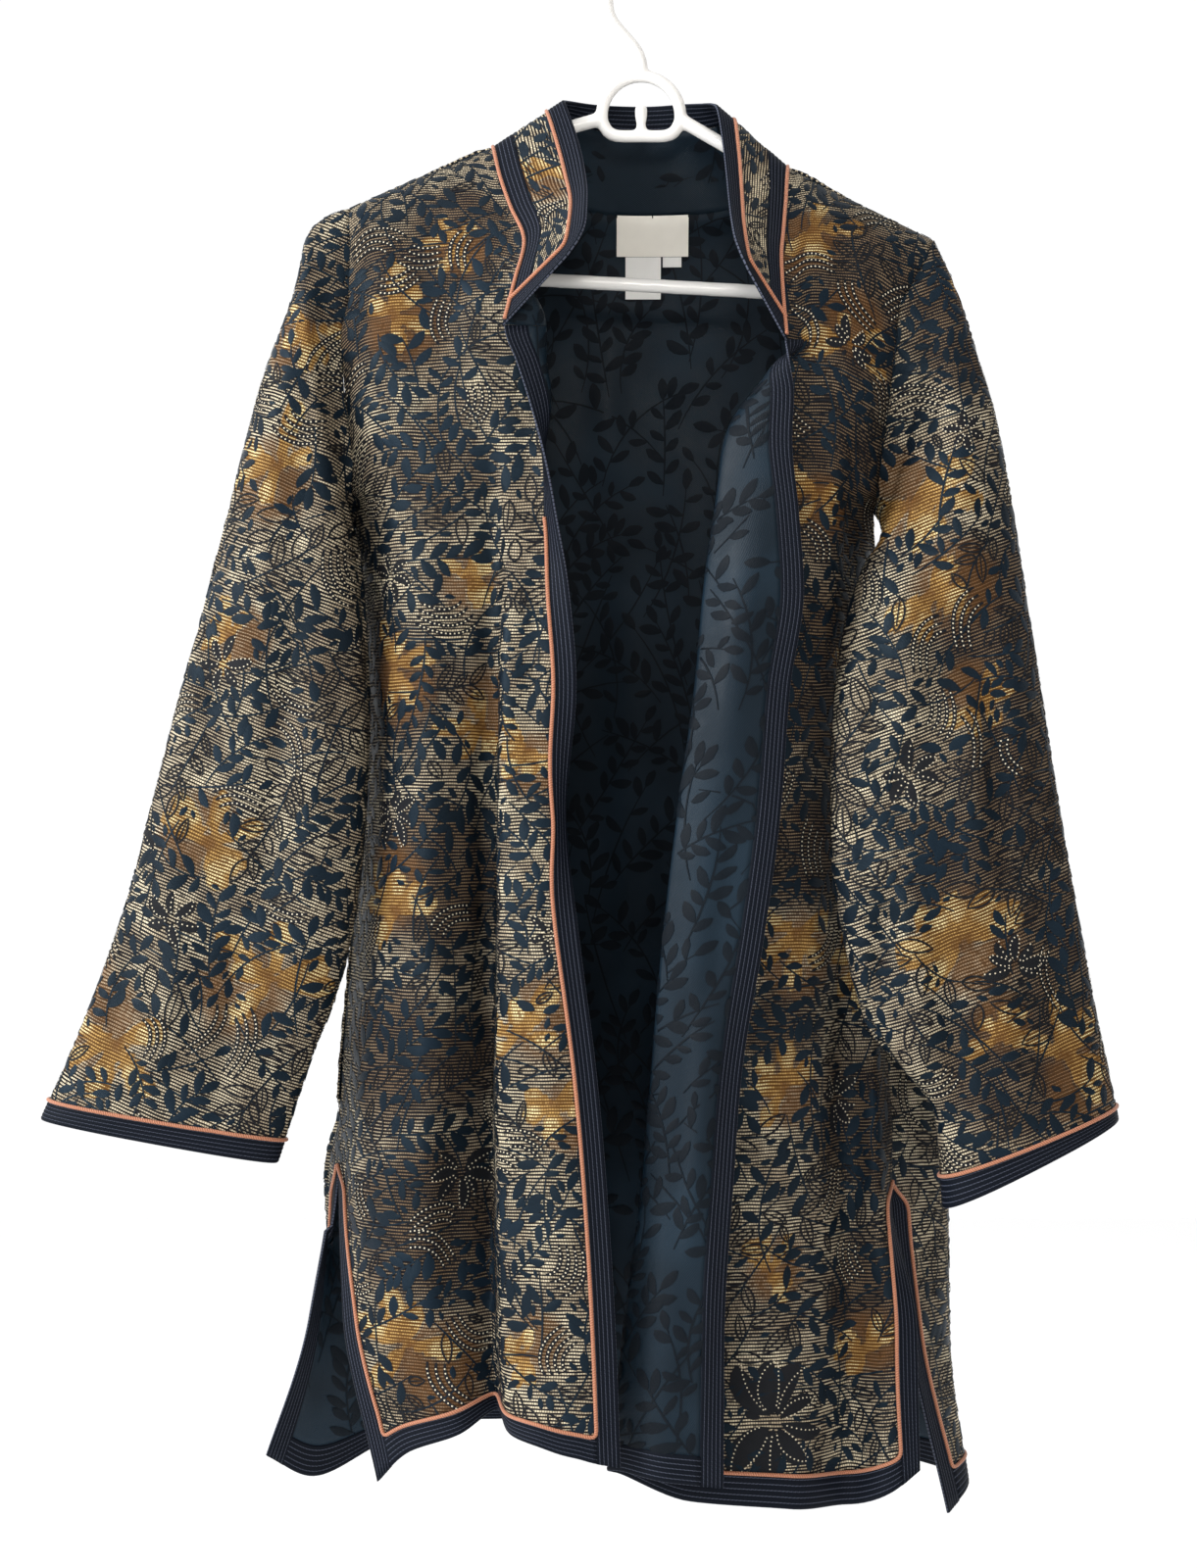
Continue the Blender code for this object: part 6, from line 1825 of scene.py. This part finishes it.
def make_collar():
    back = cloths["back"]
    neck_from, neck_to = back.u_knots[2], back.u_knots[8]
    foot, head = [], []
    for where, share, top in COLLAR:
        if where == "back":
            foot.append(back.points(neck_from + (neck_to - neck_from) * share, 0.0))
        else:
            foot.append(cloths[where + "_front"].points(1.0, share * knots[NECK_CORNER_ROW]))
        head.append(seen_at(top))
    foot, head = np.array(foot), np.array(head)
    rise = head - foot
    lap = np.array([share ** 2 if where != "back" else 0.0 for where, share, top in COLLAR])
    foot = foot - rise / np.linalg.norm(rise, axis=1, keepdims=True) * COLLAR_TUCK
    foot[:, 1] -= COLLAR_LAP * lap
    net = np.array([foot + (head - foot) * share for share in (0.0, 1 / 3, 2 / 3, 1.0)])
    v_knots = mean_knots(net, 0)
    cloth = Cloth(fine_table(net, v_knots, 60, 400, 4), v_knots, (0.0, 0.0, 0.0), origin_v=0.0,
                  grain="along")
    if cloth.outward(0.5, 0.5)[1] < 0:
        # The outer face is the one that looks backwards at the middle of the back.
        cloth.flip = -cloth.flip
        cloth.normals = -cloth.normals
    cloths["collar"] = cloth
    height = float(np.linalg.norm(rise, axis=1).mean())
    band_top = 1.0 - BAND_WIDTH / height
    first = cloth.u_inside(0.5, BAND_WIDTH, False)
    last = cloth.u_inside(0.5, BAND_WIDTH, True)

    u, v = net_of(np.linspace(first, last, 100), np.linspace(0.0, band_top, 13))
    sew_cloth("collar", cloth, u, v, lambda u, v: (np.clip(u, first, last),
                                                   np.clip(v, NECK_BAND_TOP, band_top)))

    bands, piping = Shape(), Shape()
    over = BAND_OVER / height
    stations = np.linspace(first - 0.002, last + 0.002, 150)
    add_band(bands, cloth, [(s, 0.0) for s in stations],
             [(s, NECK_BAND_TOP + over) for s in stations], outside_only=True)
    mirror = 1.0 - last
    between = np.linspace(first * 1.8, 1.0 - mirror * 1.8, 120).tolist()

    def band_end(wide):
        """The band's outer and inner lines at a front end that is wide as given, from its foot up."""
        outer = [(0.0, 0.0), (0.0, 0.35), (0.0, 0.6), (0.0, 0.86), (0.35 * wide, 0.97), (wide, 1.0)]
        inner = [(wide, 0.0), (wide, 0.33), (wide, band_top - 0.12), (wide, band_top - 0.04),
                 (wide, band_top), (wide * 1.4, band_top)]
        return outer, inner

    outer, inner = (
        left + [(s, level) for s in between] + [(1.0 - s, at) for s, at in right[::-1]]
        for left, right, level in zip(band_end(first), band_end(mirror), (1.0, band_top)))
    fine = np.linspace(0.0, len(outer) - 1.0, 3 * len(outer))
    outer_line, inner_line = (
        np.array([np.interp(fine, np.arange(len(line)), [p[k] for p in line]) for k in range(2)]).T
        for line in (outer, inner))
    add_band(bands, cloth, outer_line, inner_line)
    add_piping(piping, cloth, inner)
    add_piping(piping, cloth, [(s, NECK_CORD_AT) for s in np.linspace(0.004, 0.996, 170)])
    sew_trims("collar", bands, ["neck_band", "collar_band"], piping,
              ["collar_piping", "neck_piping"])


make_collar()


# Labels on the inner face of the back, all blank, which stand clear of the middle of its cloth.
# The widest one's side edges are folded over, and a few stitches tack down its top edge.
LABEL_CLEAR = 0.0035
LABEL_HALF = 0.0003
LABEL_FOLD = 0.0035
LABEL_STITCHES = (0.0, 0.5, 1.0)
STITCH_LIFT = 0.0009
STITCH_RADIUS = 0.0004


def make_label(node, corner_low, corner_high, slot, folds=False):
    low, high = seen_at(corner_low), seen_at(corner_high)
    back = cloths["back"].table.reshape(-1, 3)
    xs = np.linspace(low[0], high[0], 25)
    zs = np.linspace(low[2], high[2], 17)
    near = np.array([[back[np.argmin((back[:, 0] - x) ** 2 + (back[:, 2] - z) ** 2), 1]
                      for x in xs] for z in zs])
    x_net, z_net = net_of(xs, zs)
    points = np.stack([x_net, softened(near, 8) - LABEL_CLEAR, z_net], axis=-1)
    half = np.zeros(points.shape)
    half[..., 1] = LABEL_HALF
    folded = np.minimum(xs - xs[0], xs[-1] - xs) < LABEL_FOLD
    half[:, folded & folds, 1] = 2 * LABEL_HALF
    faces = grid_faces(*points.shape[:2])
    uvs = np.stack([points[..., 0] - low[0], points[..., 2] - low[2]], axis=-1)
    shape = Shape()
    shape.add(points - half, faces[:, ::-1], uvs)
    shape.add(points + half, faces, uvs)
    if folds:
        for share in LABEL_STITCHES:
            column = int(round(share * (len(xs) - 1)))
            top = points[:2, column] - (0.0, STITCH_LIFT, 0.0)
            add_cord(shape, top, STITCH_RADIUS, sides=6, slot=1)
    materials = [paint[slot], paint["line"]] if folds else [paint[slot]]
    sewn(shape.build(node + "_cloth", materials), slot, node)


make_label("neck_label", (629, 222, 62), (702, 262, 62), "label", folds=True)
make_label("care_label", (638, 263, 64), (674, 305, 64), "tape")
make_label("size_tab", (676, 263, 64), (695, 273, 64), "tape")


# Hanger: its parts are rods of one mesh, which is then melted together.
ROD_CELL = 0.004
ROD_SIDES = 16
FRAME_WIRE = 0.0048
POST_RADII = (0.0026, 0.0044, 0.0044, 0.0033, 0.0040)
HANGER_VOXEL = 0.0014


def view_arc(centre, radius, degrees):
    """Points of the front view on a circle; 90 degrees is its top."""
    return [(centre[0] + radius * math.cos(math.radians(d)),
             centre[1] - radius * math.sin(math.radians(d))) for d in degrees]


def make_hanger():
    def rod(view_points, radius, closed=False):
        line = np.array([seen_at((x, y, 0.0)) for x, y in view_points])
        if closed:
            fine = round_loops(line[None], len(line) * 6)[0]
        else:
            fine = rounded(resampled(line, ROD_CELL), 3)
        add_cord(shape, fine, radius, sides=ROD_SIDES, closed=closed)

    shape = Shape()
    rod(view_arc(HOOK_RING_CENTRE, HOOK_RING_RADIUS, range(-5, 190, 5)) + STEM, HOOK_WIRE)
    ring_x = RING_CENTRE[0]
    ring = view_arc(RING_CENTRE, RING_RADIUS, range(0, 181, 20))
    foot_half = [(RING_RADIUS - 2, RING_FOOT - 11), (RING_RADIUS - 12, RING_FOOT - 1)]
    ring += [(ring_x - x, y) for x, y in foot_half] + [(ring_x, RING_FOOT)]
    ring += [(ring_x + x, y) for x, y in reversed(foot_half)]
    rod(ring, HOOK_WIRE, closed=True)
    post = [POST_TOP - 5, POST_TOP - 2, POST_TOP + 6, POST_TOP + 14, RING_FOOT]
    line = np.array([seen_at((ring_x, y, 0.0)) for y in post])
    add_cord(shape, line, np.array(POST_RADII), sides=ROD_SIDES)
    rod(ARM_LEFT + [BAR_LEFT] + BAR_LINE + [BAR_RIGHT] + ARM_RIGHT[::-1], FRAME_WIRE)
    piece = shape.build("clothes_hanger", [paint["plastic"]])
    remesh = piece.modifiers.new("moulded", "REMESH")
    remesh.mode = "VOXEL"
    remesh.voxel_size = HANGER_VOXEL
    remesh.use_smooth_shade = True
    smooth = piece.modifiers.new("even", "SMOOTH")
    smooth.iterations = 6
    smooth.factor = 0.5
    bpy.context.view_layer.update()
    mesh = bpy.data.meshes.new_from_object(
        piece.evaluated_get(bpy.context.evaluated_depsgraph_get()))
    piece.modifiers.clear()
    piece.data = mesh
    if not mesh.materials:
        mesh.materials.append(paint["plastic"])
    sewn(piece, "plastic", "hanger")


make_hanger()

# Light, floor, world and camera. Lamps: name, place, target, size, power, colour, spread.
LAMPS = [
    ("key", (-2.4, -1.0, 0.45), (0.0, 0.0, -0.5), (1.0, 1.4), 54.0, (0.97, 0.99, 1.0), 180.0),
    ("fill", (1.6, -1.8, -0.1), (0.0, 0.0, -0.5), (1.2, 1.2), 7.0, (1.0, 0.88, 0.74), 180.0),
    ("neck", (-0.02, -1.35, 0.02), (0.005, 0.06, -0.17), (0.25, 0.2), 0.25, (1.0, 0.95, 0.88), 40.0),
]
WINDOW_WAY = (-0.779, -0.499, 0.379)
ROOM_LIGHT = 0.26
WINDOW_LIGHT = 1.35
CEILING_LIGHT = 0.32
WALL_LIGHT = 1.03
FLOOR_HALF = 3.0
FLOOR_LEVEL = -1.30
SENSOR_HEIGHT = 24.0


def make_stage():
    shape = Shape()
    square = [(0, 0), (1, 0), (1, 1), (0, 1)]
    corners = [((2 * x - 1) * FLOOR_HALF, (2 * y - 1) * FLOOR_HALF, FLOOR_LEVEL) for x, y in square]
    shape.add(corners, np.array([[0, 1, 2, 3]]), uvs=square)
    material, _ = node_material("floor_paint", (0.985, 0.985, 0.985), 1.0)
    shape.build("floor", [material])

    def lamp(name, place, target, size_m, power, colour, spread):
        data = bpy.data.lights.new(name, "AREA")
        data.shape = "RECTANGLE"
        data.size, data.size_y = size_m
        data.energy = power
        data.color = colour
        data.spread = math.radians(spread)
        lamp_object = bpy.data.objects.new(name, data)
        bpy.context.collection.objects.link(lamp_object)
        lamp_object.location = place
        way = Vector(target) - Vector(place)
        lamp_object.rotation_euler = way.to_track_quat("-Z", "Y").to_euler()

    for row in LAMPS:
        lamp(*row)
    world = bpy.data.worlds.new("room")
    world.use_nodes = True
    w = Wiring(world)
    way = w.nodes.new("ShaderNodeTexCoord").outputs["Generated"]
    side = w.step(w.dot(way, WINDOW_WAY), 0.3, 1.0, ROOM_LIGHT, ROOM_LIGHT + WINDOW_LIGHT)
    above = w.step(w.dot(way, (0.0, 0.0, 1.0)), 0.25, 0.9, 0.0, CEILING_LIGHT)
    front = w.plus(side, above)
    behind = w.step(w.dot(way, (0.0, 1.0, 0.0)), 0.15, 0.6)
    wall = w.math("MAXIMUM", front, WALL_LIGHT)
    level = w.plus(w.times(wall, behind),
                   w.times(front, w.less(1.0, behind)))
    w.nodes["Background"].inputs["Color"].default_value = (1.0, 1.0, 1.0, 1.0)
    w.put(w.nodes["Background"].inputs["Strength"], level)
    bpy.context.scene.world = world
    bpy.context.scene.view_settings.view_transform = "Standard"


def make_camera():
    data = bpy.data.cameras.new("camera")
    data.sensor_fit = "VERTICAL"
    data.sensor_height = SENSOR_HEIGHT
    data.lens = SENSOR_HEIGHT * EYE_DISTANCE / (2 * VIEW_CENTRE[1] * STEP)
    data.dof.use_dof = False
    camera = bpy.data.objects.new("camera", data)
    bpy.context.collection.objects.link(camera)
    camera.location = (EYE_X, -EYE_DISTANCE, EYE_Z)
    camera.rotation_euler = (math.radians(90.0), 0.0, 0.0)
    bpy.context.scene.camera = camera


make_stage()
make_camera()
